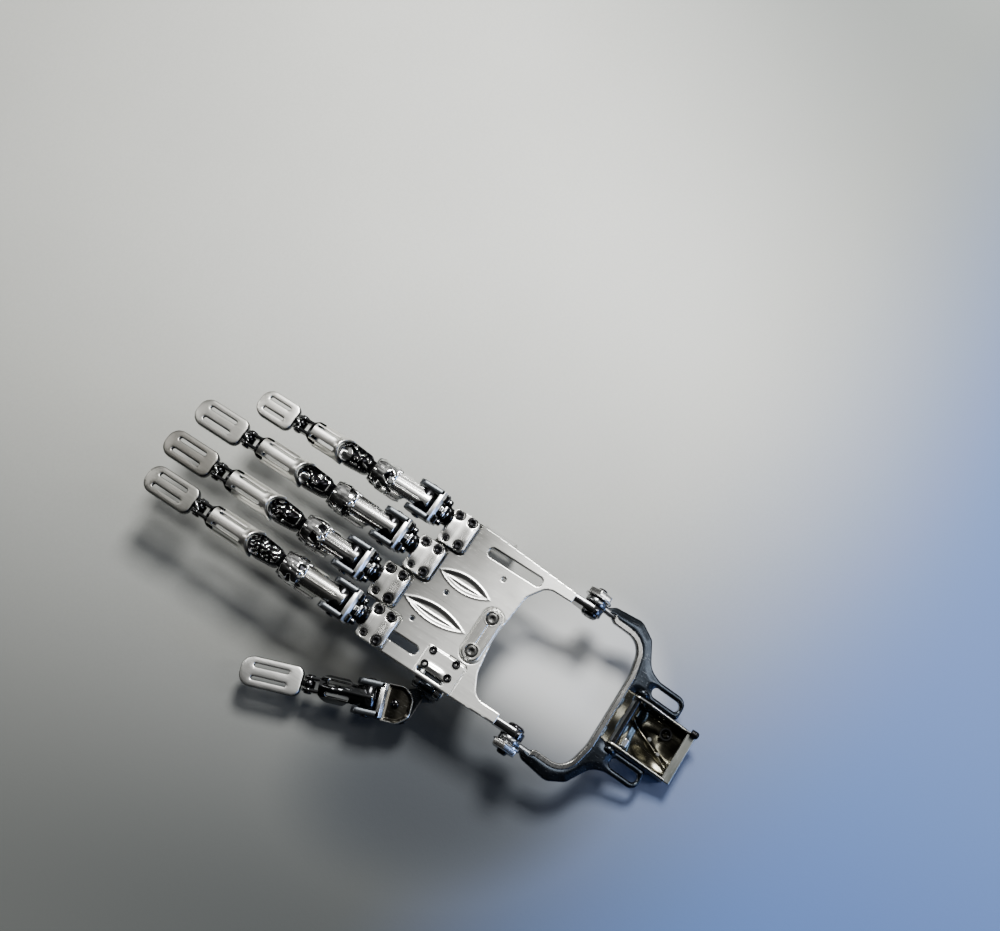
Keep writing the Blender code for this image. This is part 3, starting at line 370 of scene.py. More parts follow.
def make(name, form, finish, node, replaces=None):
    """One finished piece, in metres, with its edge mark kept as an attribute (rubbed edges on most pieces,
    painted light and shade on some), riding on a CAD node's body.
    """
    points, faces, wear_and_painted_light = form
    mesh = bpy.data.meshes.new(name)
    mesh.from_pydata((points * MM).tolist(), [], faces.tolist())
    kept = mesh.attributes.new("wear_and_painted_light", "FLOAT", "POINT")
    kept.data.foreach_set("value", wear_and_painted_light.astype(np.float32))
    work = bmesh.new()
    work.from_mesh(mesh)
    bmesh.ops.remove_doubles(work, verts=work.verts, dist=2e-6)
    bmesh.ops.dissolve_degenerate(work, edges=work.edges, dist=1e-7)
    bmesh.ops.recalc_face_normals(work, faces=work.faces)
    work.to_mesh(mesh)
    work.free()
    mesh.shade_smooth()
    mesh.set_sharp_from_angle(angle=SHARP)
    mesh.materials.append(finish)
    piece = bpy.data.objects.new(name, mesh)
    bpy.context.scene.collection.objects.link(piece)
    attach(piece, BODY[node])
    if replaces:
        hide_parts(*replaces)
    return piece


# ---- finishes ----

class Value:
    """A shader socket that Python arithmetic turns into Math nodes."""

    def __init__(self, finish, socket):
        self.finish = finish
        self.socket = socket

    def _math(self, operation, first, second):
        return self.finish.node("ShaderNodeMath", {"operation": operation}, {0: first, 1: second})

    def __add__(self, other):
        return self._math("ADD", self, other)

    __radd__ = __add__

    def __sub__(self, other):
        return self._math("SUBTRACT", self, other)

    def __rsub__(self, other):
        return self._math("SUBTRACT", other, self)

    def __mul__(self, other):
        return self._math("MULTIPLY", self, other)

    def clipped(self):
        return self.finish.node("ShaderNodeClamp", {}, {0: self})


class Finish:
    """A material under construction: node() adds any node, and the helpers below name the ones used often."""

    def __init__(self, name):
        self.material = bpy.data.materials.new(name)
        self.material.use_nodes = True
        self.tree = self.material.node_tree
        self.shader = self.tree.nodes["Principled BSDF"]
        self.place = self.node("ShaderNodeTexCoord", {}, {}, "Object")

    def node(self, kind, settings, inputs, output=0):
        made = self.tree.nodes.new(kind)
        for key, value in settings.items():
            setattr(made, key, value)
        for key, value in inputs.items():
            self.feed(made.inputs[key], value)
        return Value(self, made.outputs[output])

    def feed(self, socket, value):
        if isinstance(value, Value):
            self.tree.links.new(value.socket, socket)
        else:
            socket.default_value = value

    def noise(self, scale, stretch=(1, 1, 1), turn=0.0, detail=3.0, rough=0.55):
        """Noise of about one patch every 1/scale metres, stretched per axis and turned about z."""
        where = self.node(
            "ShaderNodeMapping",
            {"vector_type": "POINT"},
            {"Vector": self.place, "Rotation": (0, 0, turn), "Scale": stretch},
        )
        inputs = {"Vector": where, "Scale": scale, "Detail": detail, "Roughness": rough}
        return self.node("ShaderNodeTexNoise", {}, inputs)

    def ramp(self, value, low, high):
        """0 up to low, 1 from high on."""
        inputs = {"Value": value, "From Min": low, "From Max": high}
        return self.node("ShaderNodeMapRange", {"interpolation_type": "SMOOTHSTEP"}, inputs)

    def blend(self, share, first, second):
        """The first colour at share 0 and the second at 1, each an (r, g, b) or another node's colour."""
        first, second = [(*tone, 1) if isinstance(tone, tuple) else tone for tone in (first, second)]
        return self.node("ShaderNodeMix", {"data_type": "RGBA"}, {"Factor": share, 6: first, 7: second}, 2)

    def split(self, vector):
        made = self.node("ShaderNodeSeparateXYZ", {}, {0: vector})
        return [Value(self, socket) for socket in made.socket.node.outputs]

    def wear_and_painted_light(self):
        return self.node("ShaderNodeAttribute", {"attribute_name": "wear_and_painted_light"}, {}, "Fac")

    def bump(self, height, strength, distance):
        inputs = {"Height": height, "Strength": strength, "Distance": distance}
        return self.node("ShaderNodeBump", {}, inputs, "Normal")

    def set(self, **values):
        for key, value in values.items():
            self.feed(self.shader.inputs[key.replace("_", " ").title()], value)
        return self.material


def metal(name, dark, light, rough, grain, turn=0.0, streaks=0.08, smudge=0.06, edge_wear_and_painted_light=0.35,
          edge_wear_and_painted_light_tone=(0.9, 0.9, 0.88), bite=0.00001, painted_sheen=None, scratches=0.18):
    """A metal: cloudy tone between dark and light, grain drawn out along one axis, smudged gloss, and an edge
    tone: rubbed edges on most pieces, painted shade on the fingertip walls, a painted highlight line on the yoke
    rim.

    Tone is 0.6 cloud + 0.4 grain. Roughness is rough + streaks (grain - 0.5) + smudge (cloud - 0.5), and more
    in a scratch. bite is the depth of the grain in metres.
    A painted sheen, when given as (x share, y share, start, stop, far tone), runs the tone to the far tone along
    that direction.
    """
    f = Finish(name)
    cloud = f.noise(60, detail=4)
    drawn = f.noise(1100, grain, turn, detail=4, rough=0.65)
    tone = f.ramp(cloud * 0.6 + drawn * 0.4, 0.34, 0.66)
    edge = f.ramp(f.wear_and_painted_light() + f.noise(420, detail=3) * 0.5, 0.75, 1.25) * edge_wear_and_painted_light
    athwart = (1.0, 16.0, 6.0) if grain[0] < 1 else (16.0, 1.0, 6.0)
    scratch = f.ramp(f.noise(260, athwart, turn + 0.22, 1.0), 0.70, 0.72)
    colour = f.blend(tone, dark, light)
    # Painted sheen: the tone runs to the lighter far tone across the piece.
    if painted_sheen:
        across_share, along_share, start, stop, far = painted_sheen
        x, y, _ = f.split(f.place)
        colour = f.blend(f.ramp(x * across_share + y * along_share, start, stop), colour, far)
    colour = f.blend((edge + scratch * scratches).clipped(), colour, edge_wear_and_painted_light_tone)
    roughness = (rough + (drawn - 0.5) * streaks + (cloud - 0.5) * smudge + scratch * scratches * 0.3).clipped()
    f.shader.inputs["Metallic"].default_value = 1.0
    normal = f.bump(drawn - scratch * scratches * 2.5, 0.3, bite)
    return f.set(base_color=colour, roughness=roughness, normal=normal)


def engraved_chrome(name):
    """Polished works: bright with a painted glint where the piece's mark attribute is high, and near black in
    the hollows as painted shade.
    """
    f = Finish(name)
    height = f.ramp(f.wear_and_painted_light() + (f.noise(900, detail=3) - 0.5) * 0.25, 0.42, 0.58)
    glint = f.ramp(f.noise(700, (1.0, 0.4, 1.0), 0.6, 2.0), 0.40, 0.60)
    # Painted shade in the hollows, painted glint on the raised parts.
    colour = f.blend(height, (0.006, 0.006, 0.007), f.blend(glint, (0.42, 0.42, 0.42), (0.95, 0.95, 0.94)))
    f.shader.inputs["Metallic"].default_value = 1.0
    return f.set(base_color=colour, roughness=0.16 - height * 0.06)


ALONG = (1.0, 0.035, 1.0)  # grain drawn out along y
ACROSS_GRAIN = (0.035, 1.0, 1.0)  # grain drawn out along x
PAINTED_WALL_SHADE = (0.015, 0.015, 0.017)  # painted shade: near black painted on the walls and very edge of a fingertip plate
THUMB_YAW = math.atan2(
    centre_of("thumb_knuckle_pin")[0] - centre_of("thumb_tip_pin")[0],
    centre_of("thumb_tip_pin")[1] - centre_of("thumb_knuckle_pin")[1],
)

# Painted sheen: the back plate runs from dark near the knuckles to near white towards the wrist.
SATIN = metal("satin_plate", (0.105, 0.105, 0.10), (0.155, 0.155, 0.15), 0.30, ALONG, streaks=0.10, smudge=0.08,
              painted_sheen=(-0.45, -0.89, -0.022, 0.040, (0.95, 0.95, 0.925)))
PALE = metal("pale_mount", (0.62, 0.615, 0.59), (0.80, 0.795, 0.765), 0.22, ACROSS_GRAIN, smudge=0.10)
# Painted light and shade: one pale metal, each finger's copy of its mount lighter or darker as the light falls
# on it.
MOUNTS_PAINTED_LIGHT_PER_FINGER = {
    name: metal(name + "_mount", dark, light, rough, ACROSS_GRAIN, scratches=0.0, bite=0.0)
    for name, dark, light, rough in (
        ("index", (0.70, 0.695, 0.67), (0.88, 0.875, 0.85), 0.26),
        ("middle", (0.50, 0.495, 0.475), (0.72, 0.715, 0.69), 0.26),
        ("ring", (0.86, 0.855, 0.83), (0.96, 0.955, 0.93), 0.28),
        ("little", (0.88, 0.875, 0.85), (0.97, 0.965, 0.94), 0.28),
    )
}
BRIGHT = metal("bright_fork", (0.90, 0.90, 0.89), (0.97, 0.97, 0.96), 0.30, ACROSS_GRAIN, scratches=0.0)
# Painted light and shade: one metal, each finger's copy of its link tube lighter or darker as the light falls on
# it.
TUBES_PAINTED_LIGHT_PER_FINGER = {
    name: metal(name + "_tube", dark, light, rough, ALONG)
    for name, dark, light, rough in (
        ("index", (0.46, 0.455, 0.43), (0.68, 0.675, 0.65), 0.20),
        ("middle", (0.36, 0.36, 0.35), (0.62, 0.62, 0.61), 0.17),
        ("ring", (0.56, 0.56, 0.55), (0.82, 0.82, 0.80), 0.18),
        ("little", (0.90, 0.90, 0.89), (0.97, 0.97, 0.96), 0.24),
    )
}
TROUGH = metal("trough_tube", (0.68, 0.67, 0.635), (0.88, 0.87, 0.83), 0.30, ALONG, smudge=0.10)
# Painted light and shade: one satin metal, each finger's copy lighter or darker as the light falls on it, its
# walls painted near black.
TIPS_PAINTED_LIGHT_PER_FINGER = {
    name: metal(name + "_tip_satin", tuple(0.82 * t for t in tone), tone, 0.36, ALONG, streaks=0.06,
                edge_wear_and_painted_light=1.0, edge_wear_and_painted_light_tone=PAINTED_WALL_SHADE, bite=0.00002, scratches=0.0)
    for name, tone in (
        ("index", (0.31, 0.305, 0.285)),
        ("middle", (0.27, 0.262, 0.24)),
        ("ring", (0.43, 0.425, 0.40)),
        ("little", (0.74, 0.73, 0.69)),
    )
}
CHROME = metal("chrome_works", (0.62, 0.63, 0.64), (0.82, 0.83, 0.84), 0.08, ALONG, streaks=0.02, smudge=0.03,
               bite=0.0)
WORKS = engraved_chrome("engraved_works")
STEEL = metal("bright_steel", (0.62, 0.62, 0.61), (0.82, 0.82, 0.80), 0.18, ACROSS_GRAIN, streaks=0.04,
              bite=0.0, scratches=0.0)
NUT = metal("nut_steel", (0.55, 0.55, 0.545), (0.80, 0.80, 0.79), 0.24, ACROSS_GRAIN, streaks=0.03, smudge=0.03,
            bite=0.0, scratches=0.0)
DARK = metal("dark_chrome", (0.020, 0.020, 0.022), (0.055, 0.056, 0.060), 0.15, ALONG, streaks=0.04,
             edge_wear_and_painted_light=0.25, edge_wear_and_painted_light_tone=(0.28, 0.285, 0.29), bite=0.0)
SOCKET = metal("black_glossy_socket", (0.006, 0.006, 0.007), (0.018, 0.019, 0.02), 0.12, ALONG, streaks=0.03,
               edge_wear_and_painted_light=0.4, edge_wear_and_painted_light_tone=(0.20, 0.205, 0.21), bite=0.0)
SLATE = metal("slate_prong", (0.030, 0.034, 0.041), (0.060, 0.067, 0.078), 0.34, ALONG, edge_wear_and_painted_light=0.3,
              edge_wear_and_painted_light_tone=(0.22, 0.235, 0.25))
GUNMETAL = metal("gunmetal_yoke", (0.014, 0.017, 0.021), (0.034, 0.040, 0.048), 0.24, ALONG, edge_wear_and_painted_light=0.45,
                 edge_wear_and_painted_light_tone=(0.50, 0.51, 0.52))
# Painted highlight: the near white edge tone draws a bright line where a piece's mark is high.
RIM = metal("yoke_rim", (0.11, 0.108, 0.10), (0.21, 0.208, 0.20), 0.24, ACROSS_GRAIN, edge_wear_and_painted_light=1.0,
            edge_wear_and_painted_light_tone=(0.88, 0.88, 0.86))
BLACK = metal("black_screw", (0.004, 0.004, 0.005), (0.014, 0.014, 0.015), 0.40, ACROSS_GRAIN, edge_wear_and_painted_light=0.0)
GREY_SCREW = metal("grey_screw", (0.035, 0.035, 0.035), (0.075, 0.075, 0.073), 0.34, ACROSS_GRAIN, edge_wear_and_painted_light=0.3)
OLIVE = metal("olive_trough", (0.040, 0.038, 0.028), (0.105, 0.10, 0.078), 0.24, ALONG, smudge=0.08, edge_wear_and_painted_light=0.5,
              edge_wear_and_painted_light_tone=(0.50, 0.50, 0.46), bite=0.0)
LIP = metal("trough_lip", (0.16, 0.17, 0.162), (0.27, 0.28, 0.265), 0.30, ACROSS_GRAIN)
CHROME_DARK = metal("dark_polished_link", (0.045, 0.046, 0.05), (0.14, 0.145, 0.15), 0.10, ALONG, THUMB_YAW,
                    streaks=0.04, edge_wear_and_painted_light=0.7, edge_wear_and_painted_light_tone=(0.65, 0.66, 0.66), bite=0.0)
DISC = metal("brown_black_disc", (0.030, 0.028, 0.022), (0.07, 0.066, 0.055), 0.20, ALONG, THUMB_YAW, edge_wear_and_painted_light=0.0)
# Painted light and shade: the thumb's copy of the fingertip satin, its walls painted near black.
TIP_THUMB = metal("thumb_tip_satin", (0.60, 0.60, 0.585), (0.80, 0.80, 0.78), 0.34, ALONG, THUMB_YAW, edge_wear_and_painted_light=1.0,
                  edge_wear_and_painted_light_tone=PAINTED_WALL_SHADE, bite=0.00002, scratches=0.0)


# ---- small parts used in many places ----

def socket_screw(x, y, seat, radius, height, bottom, shank=1.1, socket=0.5):
    """A socket-head screw standing up z: shank, cylindrical head with a chamfer, and a hexagon socket."""
    top = seat + height
    key = radius * socket
    profile = [
        (0, bottom),
        (shank, bottom),
        (shank, seat),
        (radius - 0.1, seat),
        (radius, seat + 0.12),
        (radius, top - 0.22),
        (radius - 0.07, top - 0.07),
        (radius - 0.22, top),
        (key + 0.12, top),
        (key, top - 0.12),
        (key * 0.98, top - height * 0.62),
        (0, top - height * 0.75),
    ]
    return turned(profile, at=(x, y, 0), sides=36, six=(9, 10))


def nut_plate(width, length, low, high, margin=0.0):
    """The obround plate under a set of screws, which they thread into."""
    half_width, half_length = width / 2 + margin, length / 2 + margin
    extent = (-half_width, half_width, -half_length, half_length)
    return plate(box_field(0, 0, width, length, 2.2), extent, low, high, 0.2, step=0.5)


def cross_pin(outer, shank=1.25, head=1.9, head_height=0.75):
    """A pin across a finger: a shank with a low domed head at each end, undersides at +-outer, tops dimpled."""
    profile = []
    for turn in np.radians([90, 72, 52, 32, 12, 0]):
        profile.append((head * math.cos(turn) ** 0.9, -outer - 0.15 - (head_height - 0.15) * math.sin(turn)))
    profile.append((head, -outer))
    profile.append((shank, -outer))
    dish = 0.28
    profile[0] = (0, -outer - head_height + dish)
    profile[1] = (head * 0.36, -outer - head_height + dish * 0.6)
    whole = profile + [(r, -h) for r, h in reversed(profile)]
    return turned(whole, "x", sides=32)


def replaced_pin(node, outer, finish, yaw=0.0):
    """A hinge pin in place of the frame's plain one."""
    make(node + "_turned", seated(cross_pin(outer), centre_of(node), yaw), finish, node, [node])


# ---- palm ----

PALM_SLOTS = ((27.0, -14.5, 4.6, 28.0), (-28.4, 8.4, 4.2, 15.0), (-33.9, -9.4, 2.2, 13.5))  # x, y, width, length
PALM_HOLES = ((19.4, -13.2), (0.6, 5.0), (-17.2, 11.2))  # x, y
PALM_LENSES = ((8.0, 0.1, 24.2), (-10.4, 4.2, 29.2))  # x, y, length
LENS_HALF = 3.5
MOUNT_AT = {name: centre_of(name + "_mount_screws")[:2] - PALM[:2] for name in FINGERS}
MOUNT_HALF_LENGTH = 6.8
WRIST_X = centre_of("wrist_yoke")[0] - PALM[0]
LUG_IN = 30.5
LUG_OUT = 34.0
LUG_END_R = 5.0
HINGE = centre_of("wrist_bolt_right") - PALM
ARM_END = -44.0
PLATE_T = 2.0
TAB_T = 1.8
TAB_REAR = -8.0
TAB_FRONT = 9.0
NUTS_LOW = -3.7  # the nut plates' faces under the palm, from the back plate's top
NUTS_HIGH = -2.3
SCREW_LOW = -3.4


def palm_outline():
    """The back plate's corners: a front edge with a step per mount, and two arms round the wrist opening."""
    across_hand = [MOUNT_AT[name] for name in ("little", "ring", "middle", "index")]
    edges = [PALM_RIGHT] + [(a[0] + b[0]) / 2 for a, b in zip(across_hand, across_hand[1:])] + [-36.8]
    front = []
    for i, (_, y) in enumerate(across_hand):
        front.append((edges[i], y + MOUNT_HALF_LENGTH + 0.2, 3 if i == 0 else 1))
        front.append((edges[i + 1], y + MOUNT_HALF_LENGTH + 0.2, 3 if i == 3 else 1))
    arm_in = LUG_IN - 1.5
    rear = [
        (-36.8, -25, 8),
        (WRIST_X - LUG_OUT, ARM_END, 0.6),
        (WRIST_X - arm_in, ARM_END, 0.6),
        (WRIST_X - arm_in, -31, 7),
        (-21, -26, 7),
        (-5, -23.7, 30),
        (18, -26, 7),
        (WRIST_X + arm_in, -32, 7),
        (WRIST_X + arm_in, ARM_END, 0.6),
        (WRIST_X + LUG_OUT, ARM_END, 0.6),
        (35.2, 0, 8),
    ]
    return front + rear


def lens_field(cu, cv, length):
    """Distance in from a lens, where two equal circles overlap: the smaller of the two circles' distances."""
    radius = ((length / 2) ** 2 + LENS_HALF**2) / (2 * LENS_HALF)
    left = disc_field(cu + radius - LENS_HALF, cv, radius)
    right = disc_field(cu - radius + LENS_HALF, cv, radius)
    return lambda u, v: np.minimum(left(u, v), right(u, v))


THUMB_PAD = box_field(-30.0, -11.2, 15.6, 19.6, 1.6)
MOUNT_PADS = together(*[box_field(x, y, 17.6, 14.0, 2.0) for x, y in MOUNT_AT.values()])
ANCHOR_PAD = box_field(ANCHOR[0], ANCHOR[1], 26.6, 9.7, 4.8)


def palm_relief(u, v, _):
    """Two lens bowls with a lip and a ridge, a raised thumb pad, and a dark groove round each mounted piece.

    Each bowl is 0.18 exp(-(d + 0.35)^2 / 0.16) - 0.62 s(d / 1.7) + 0.22 exp(-(x / 0.5)^2) s(d / 1.6).
    """
    height = np.zeros_like(u)
    for cu, cv, length in PALM_LENSES:
        d = lens_field(cu, cv, length)(u, v)
        height += 0.18 * np.exp(-((d + 0.35) ** 2) / 0.16)
        height -= 0.62 * smooth(d / 1.7)
        height += 0.22 * np.exp(-(((u - cu + 0.4) / 0.5) ** 2)) * smooth(d / 1.6)
    pad = THUMB_PAD(u, v)
    height += 0.45 * smooth(pad / 0.5) - 0.5 * np.exp(-((pad / 0.3) ** 2)) * (u < -21) * (v < -12)
    height += 0.7 * np.exp(-(((u + 30.9) / 1.2) ** 2) - ((v + 9.5) / 4.6) ** 4)
    for near in (MOUNT_PADS(u, v), ANCHOR_PAD(u, v)):
        height -= 0.9 * np.exp(-((near / 0.32) ** 2))
    return height


def build_palm():
    base = PALM + (0, 0, PLATE_TOP)
    holes = [slot_field(*place) for place in PALM_SLOTS] + [disc_field(x, y, 0.9) for x, y in PALM_HOLES]
    field = without(outline_field(palm_outline()), *holes)
    sheet = plate(field, (-37.0, 36.2, -44.2, 35.4), -PLATE_T, 0, 0.3, palm_relief, step=0.33)
    make("back_plate_sheet", seated(sheet, base), SATIN, "back_plate", ["back_plate"])
    drop = HINGE[2] - PLATE_TOP
    lug_front = ARM_END + 3
    lug = outline_field([
        (lug_front, -0.4, 0.4),
        (HINGE[1] - LUG_END_R, -0.4, 4.4),
        (HINGE[1] - LUG_END_R, drop - 6, 4.8),
        (HINGE[1] + LUG_END_R, drop - 6, 4.5),
        (lug_front, -7, 2),
    ])
    bored = without(lug, disc_field(HINGE[1], drop, 2.7))
    extent = (HINGE[1] - LUG_END_R - 0.2, lug_front + 0.2, drop - 6.2, 0)
    lugs = plate_pair(bored, extent, LUG_IN, LUG_OUT, 0.3, WRIST_X)
    flange = [
        block((WRIST_X + LUG_OUT - 1.8, -42, -7), (WRIST_X + LUG_OUT, -15, -1), 0.3, 0.4),
        block((WRIST_X - LUG_OUT, -42, -7), (WRIST_X - LUG_OUT + 1.8, -26, -1), 0.3, 0.4),
    ]
    make("wrist_lugs", seated(joined(*lugs), base), DARK, "back_plate")
    make("plate_flanges", seated(joined(*flange), base), STEEL, "back_plate")
    make("palm_strap_tab", seated(joined(*strap_tab()), base), STEEL, "back_plate")


def strap_tab():
    """The strap tab's two runs: a sheet stepping out and down from the palm, and a blade with a slot."""
    root = PALM_RIGHT - 3.0
    clear = corners_of("back_plate")[1][0] - PALM[0] - TAB_T
    bent = outline_field([
        (root, -1.0, 0),
        (root + TAB_T, -1.0, 0),
        (root + TAB_T, -3.0, 1.5),
        (clear + TAB_T, -14, 3.0),
        (clear + TAB_T, -17, 0.2),
        (clear, -17, 0.2),
        (clear, -14, 1.6),
        (root, -3.0, 3.0),
    ])
    step_out = plate(bent, (root - 0.2, clear + 2, -17.2, -0.9), TAB_REAR, TAB_FRONT, 0.4, bend=upright)
    middle, width = (TAB_REAR + TAB_FRONT) / 2, TAB_FRONT - TAB_REAR
    strap_slot = box_field(middle, 5.5 - PLATE_TOP, 13.0, 3.0, 1.5)
    blade = without(box_field(middle, -22.0, width, 16.0, 0.6), strap_slot)
    foot = plate(blade, (TAB_REAR, TAB_FRONT, -PLATE_TOP, -14), clear, clear + TAB_T, 0.4, bend=across)
    return step_out, foot


def build_anchor():
    low, high = corners_of("anchor_bar")
    middle = np.array([*((low + high) / 2)[:2], PLATE_TOP])
    length, width = high[0] - low[0], high[1] - low[1]
    screw_x = 8.45
    head = 2.55

    def engraved(u, v, depth):
        """A groove -0.28 exp(-(v / 0.22)^2) between the screws, and a slight hollow inside the rim."""
        groove = 0.28 * np.exp(-((v / 0.22) ** 2)) * (np.abs(u) < screw_x - head - 0.6)
        return -groove - 0.12 * smooth(depth / 1.2)

    holes = [disc_field(x, 0, head + 0.12) for x in (-screw_x, screw_x)]
    body = without(box_field(0, 0, length, width, width / 2), *holes)
    bar = plate(body, (-length / 2, length / 2, -width / 2, width / 2), 0.3, 1.95, 0.5, engraved,
                fine_v=(-0.3, -0.12, 0, 0.12, 0.3))
    make("anchor_bar_plate", seated(bar, middle), PALE, "anchor_bar", ["anchor_bar"])
    screws = [socket_screw(x, 0, 0.35, head, 1.35, SCREW_LOW, socket=0.42) for x in (-screw_x, screw_x)]
    pair = joined(*screws, nut_plate(21.6, 4.6, NUTS_LOW, NUTS_HIGH))
    make("anchor_screw_pair", seated(pair, middle), GREY_SCREW, "anchor_screws", ["anchor_screws"])


# ---- fingers ----

SCREW_X = 6.1
SCREW_Y = 3.3
SWIVEL_Y = 9.2
HEAD_R = 1.85
FORK_HALF = 7.9
PRONG_T = 2.7
PRONG_LOW = 2.9  # a fork's height above the palm
PRONG_HIGH = 9.1
NECK_HALF = 3.6
PIN_OUT = FORK_HALF + 0.25  # the undersides of a knuckle pin's heads
TIP_PIN_OUT = 3.75
MOUNT_LOW = 0.3  # a mount's faces above the palm
MOUNT_HIGH = 2.5


def build_mount(name):
    """The mount: a saddle between four screws in shallow pockets, and a dark tongue to the swivel."""
    at = PALM + (*MOUNT_AT[name], PLATE_TOP)
    aside = centre_of(name + "_swivel_pin")[0] - at[0]
    places = [(sx * SCREW_X, sy * SCREW_Y) for sx in (1, -1) for sy in (1, -1)]
    radii = [HEAD_R, HEAD_R, 1.15, HEAD_R]
    half = 8.6
    body = outline_field(mirrored([
        (6.9, -MOUNT_HALF_LENGTH, 1.6),
        (half, 2.0 - MOUNT_HALF_LENGTH, 1.2),
        (half, MOUNT_HALF_LENGTH, 1.6),
    ]))

    def saddle(u, v, depth):
        """A hump 0.75 exp(-(u / 4.6)^4) that rises and dips in v, less a round pocket at each screw."""
        height = 0.75 * np.exp(-((u / 4.6) ** 4)) * smooth((depth - 0.2) / 1.6)
        height *= 0.55 + 0.45 * np.cos((v - 5.5) * 0.55)
        for (x, y), radius in zip(places, radii):
            height -= 0.55 * smooth((radius + 0.75 - np.hypot(u - x, v - y)) / 0.5)
        return height

    extent = (-half, half, -MOUNT_HALF_LENGTH, MOUNT_HALF_LENGTH)
    top = plate(body, extent, MOUNT_LOW, MOUNT_HIGH, 0.35, saddle, step=0.25)
    node = name + "_mount"
    make(node + "_plate", seated(top, at), MOUNTS_PAINTED_LIGHT_PER_FINGER[name], node, [node])
    root, end_r = 6.9, 4.3
    stem = box_field(aside, (SWIVEL_Y + root) / 2, 2 * end_r, SWIVEL_Y - root, 0.1)
    extent = (aside - end_r, aside + end_r, MOUNT_HALF_LENGTH, 13.6)
    tongue = plate(together(disc_field(aside, SWIVEL_Y, end_r), stem), extent, MOUNT_LOW, MOUNT_HIGH, 0.3)
    make(node + "_tongue", seated(tongue, at), DARK, node)
    screws = []
    for (x, y), radius in zip(places, radii):
        screws.append(socket_screw(x, y, 2.0, radius, 1.5, SCREW_LOW, min(1.1, radius * 0.8)))
    nuts = nut_plate(2 * SCREW_X + 4.6, 2 * SCREW_Y + 4.6, NUTS_LOW, NUTS_HIGH)
    node = name + "_mount_screws"
    make(node + "_set", seated(joined(*screws, nuts), at), BLACK, node, [node])


def prongs(start, end, low, high):
    """Two blades with round tips and a long softened edge, either side of the finger."""
    tip = (high - low) / 2 * 0.9
    blade = outline_field([(start, low, 0), (end, low, tip), (end, high, tip), (start, high, 0)])
    return joined(*plate_pair(blade, (start, end, low, high), FORK_HALF - PRONG_T, FORK_HALF, 0.28))


def crossbar(start, thick, low, high):
    """The bar between the prongs, its rear upper edge cut back at an angle."""
    end = start + thick
    section = [
        (start, low, 0.3),
        (end, low, 0.3),
        (end, high, 0.45),
        (start + 1.3, high, 0.3),
        (start, high - 1.5, 0.3),
    ]
    extent = (start, end, low, high)
    return plate(outline_field(section, 4), extent, -FORK_HALF, FORK_HALF, 0.4, bend=across, step=0.25)


def build_fork(name):
    """The knuckle fork: a bright crossbar, slate prongs, a black housing on the swivel and small fittings."""
    swivel = np.array([*centre_of(name + "_swivel_pin")[:2], PLATE_TOP])
    node = name + "_fork"
    bar = crossbar(3.0, 3.2, PRONG_LOW, PRONG_HIGH)
    make(node + "_crossbar", seated(bar, swivel), BRIGHT, node, [node])
    make(node + "_prongs", seated(prongs(4.5, 17.3, PRONG_LOW, PRONG_HIGH), swivel), SLATE, node)
    ear = turned([
        (1.55, 2.8),
        (4.0, 2.8),
        (4.3, 3.1),
        (4.3, 4.2),
        (3.9, 4.5),
        (3.9, 5.1),
        (3.6, 5.4),
        (1.55, 5.4),
        (1.55, 2.8),
    ])
    neck = block((-3.2, 0.5, 2.85), (3.2, 4.0, 5.35))
    shoulders = block_pair((3.4, 1.2, 3.0), (7.4, 3.2, 8.4))
    bridge = block((-3.0, -1.4, 5.5), (3.0, 3.2, 7.4), 0.5, 0.9)
    lobes = block_pair((3.6, -0.9, 3.6), (6.6, 1.6, 6.2), 0.5, 1.0)
    make(node + "_housing", seated(joined(ear, neck, *shoulders, bridge, *lobes), swivel), SOCKET, node)
    fittings = [small_rod(0.7, 2.6, (0, 0.2, 7.5), 20)]
    stud = [(0, 6.2), (0.8, 6.2), (0.8, 6.45), (0.5, 6.7), (0, 6.7)]
    fittings += [turned(stud, at=(x, 0.5, 0), sides=20) for x in (-5.1, 5.1)]
    fittings.append(block((-1.0, 1.2, 7.3), (1.4, 2.6, 7.75), 0.15, 0.2, 0.2))
    make(node + "_fittings", seated(joined(*fittings), swivel), CHROME, node)
    pin = turned([
        (0, -0.3),
        (1.5, -0.3),
        (1.9, 0.05),
        (1.9, 0.28),
        (1.25, 0.28),
        (1.25, 5.7),
        (1.9, 5.7),
        (1.9, 6.1),
        (1.5, 6.5),
        (0.7, 6.6),
        (0.5, 6.2),
        (0, 6.15),
    ])
    node = name + "_swivel_pin"
    make(node + "_turned", seated(pin, swivel), CHROME, node, [node])
    replaced_pin(name + "_knuckle_pin", PIN_OUT, DARK)


SEAMS = {"index": (0.0,), "middle": (-3.3, 0.2, 3.6), "ring": (-2.6, 2.6), "little": (-1.6, 1.4, 4.0)}
CAP_STYLES = {  # turn of the lattice, its ribs in radians per millimetre, shift of its bars
    "index": (0.35, 1.25, 0.2),
    "middle": (-0.25, 1.1, 0.4),
    "ring": (0.15, 0.45, 1.2),
    "little": (-0.5, 0.85, 0.7),
}


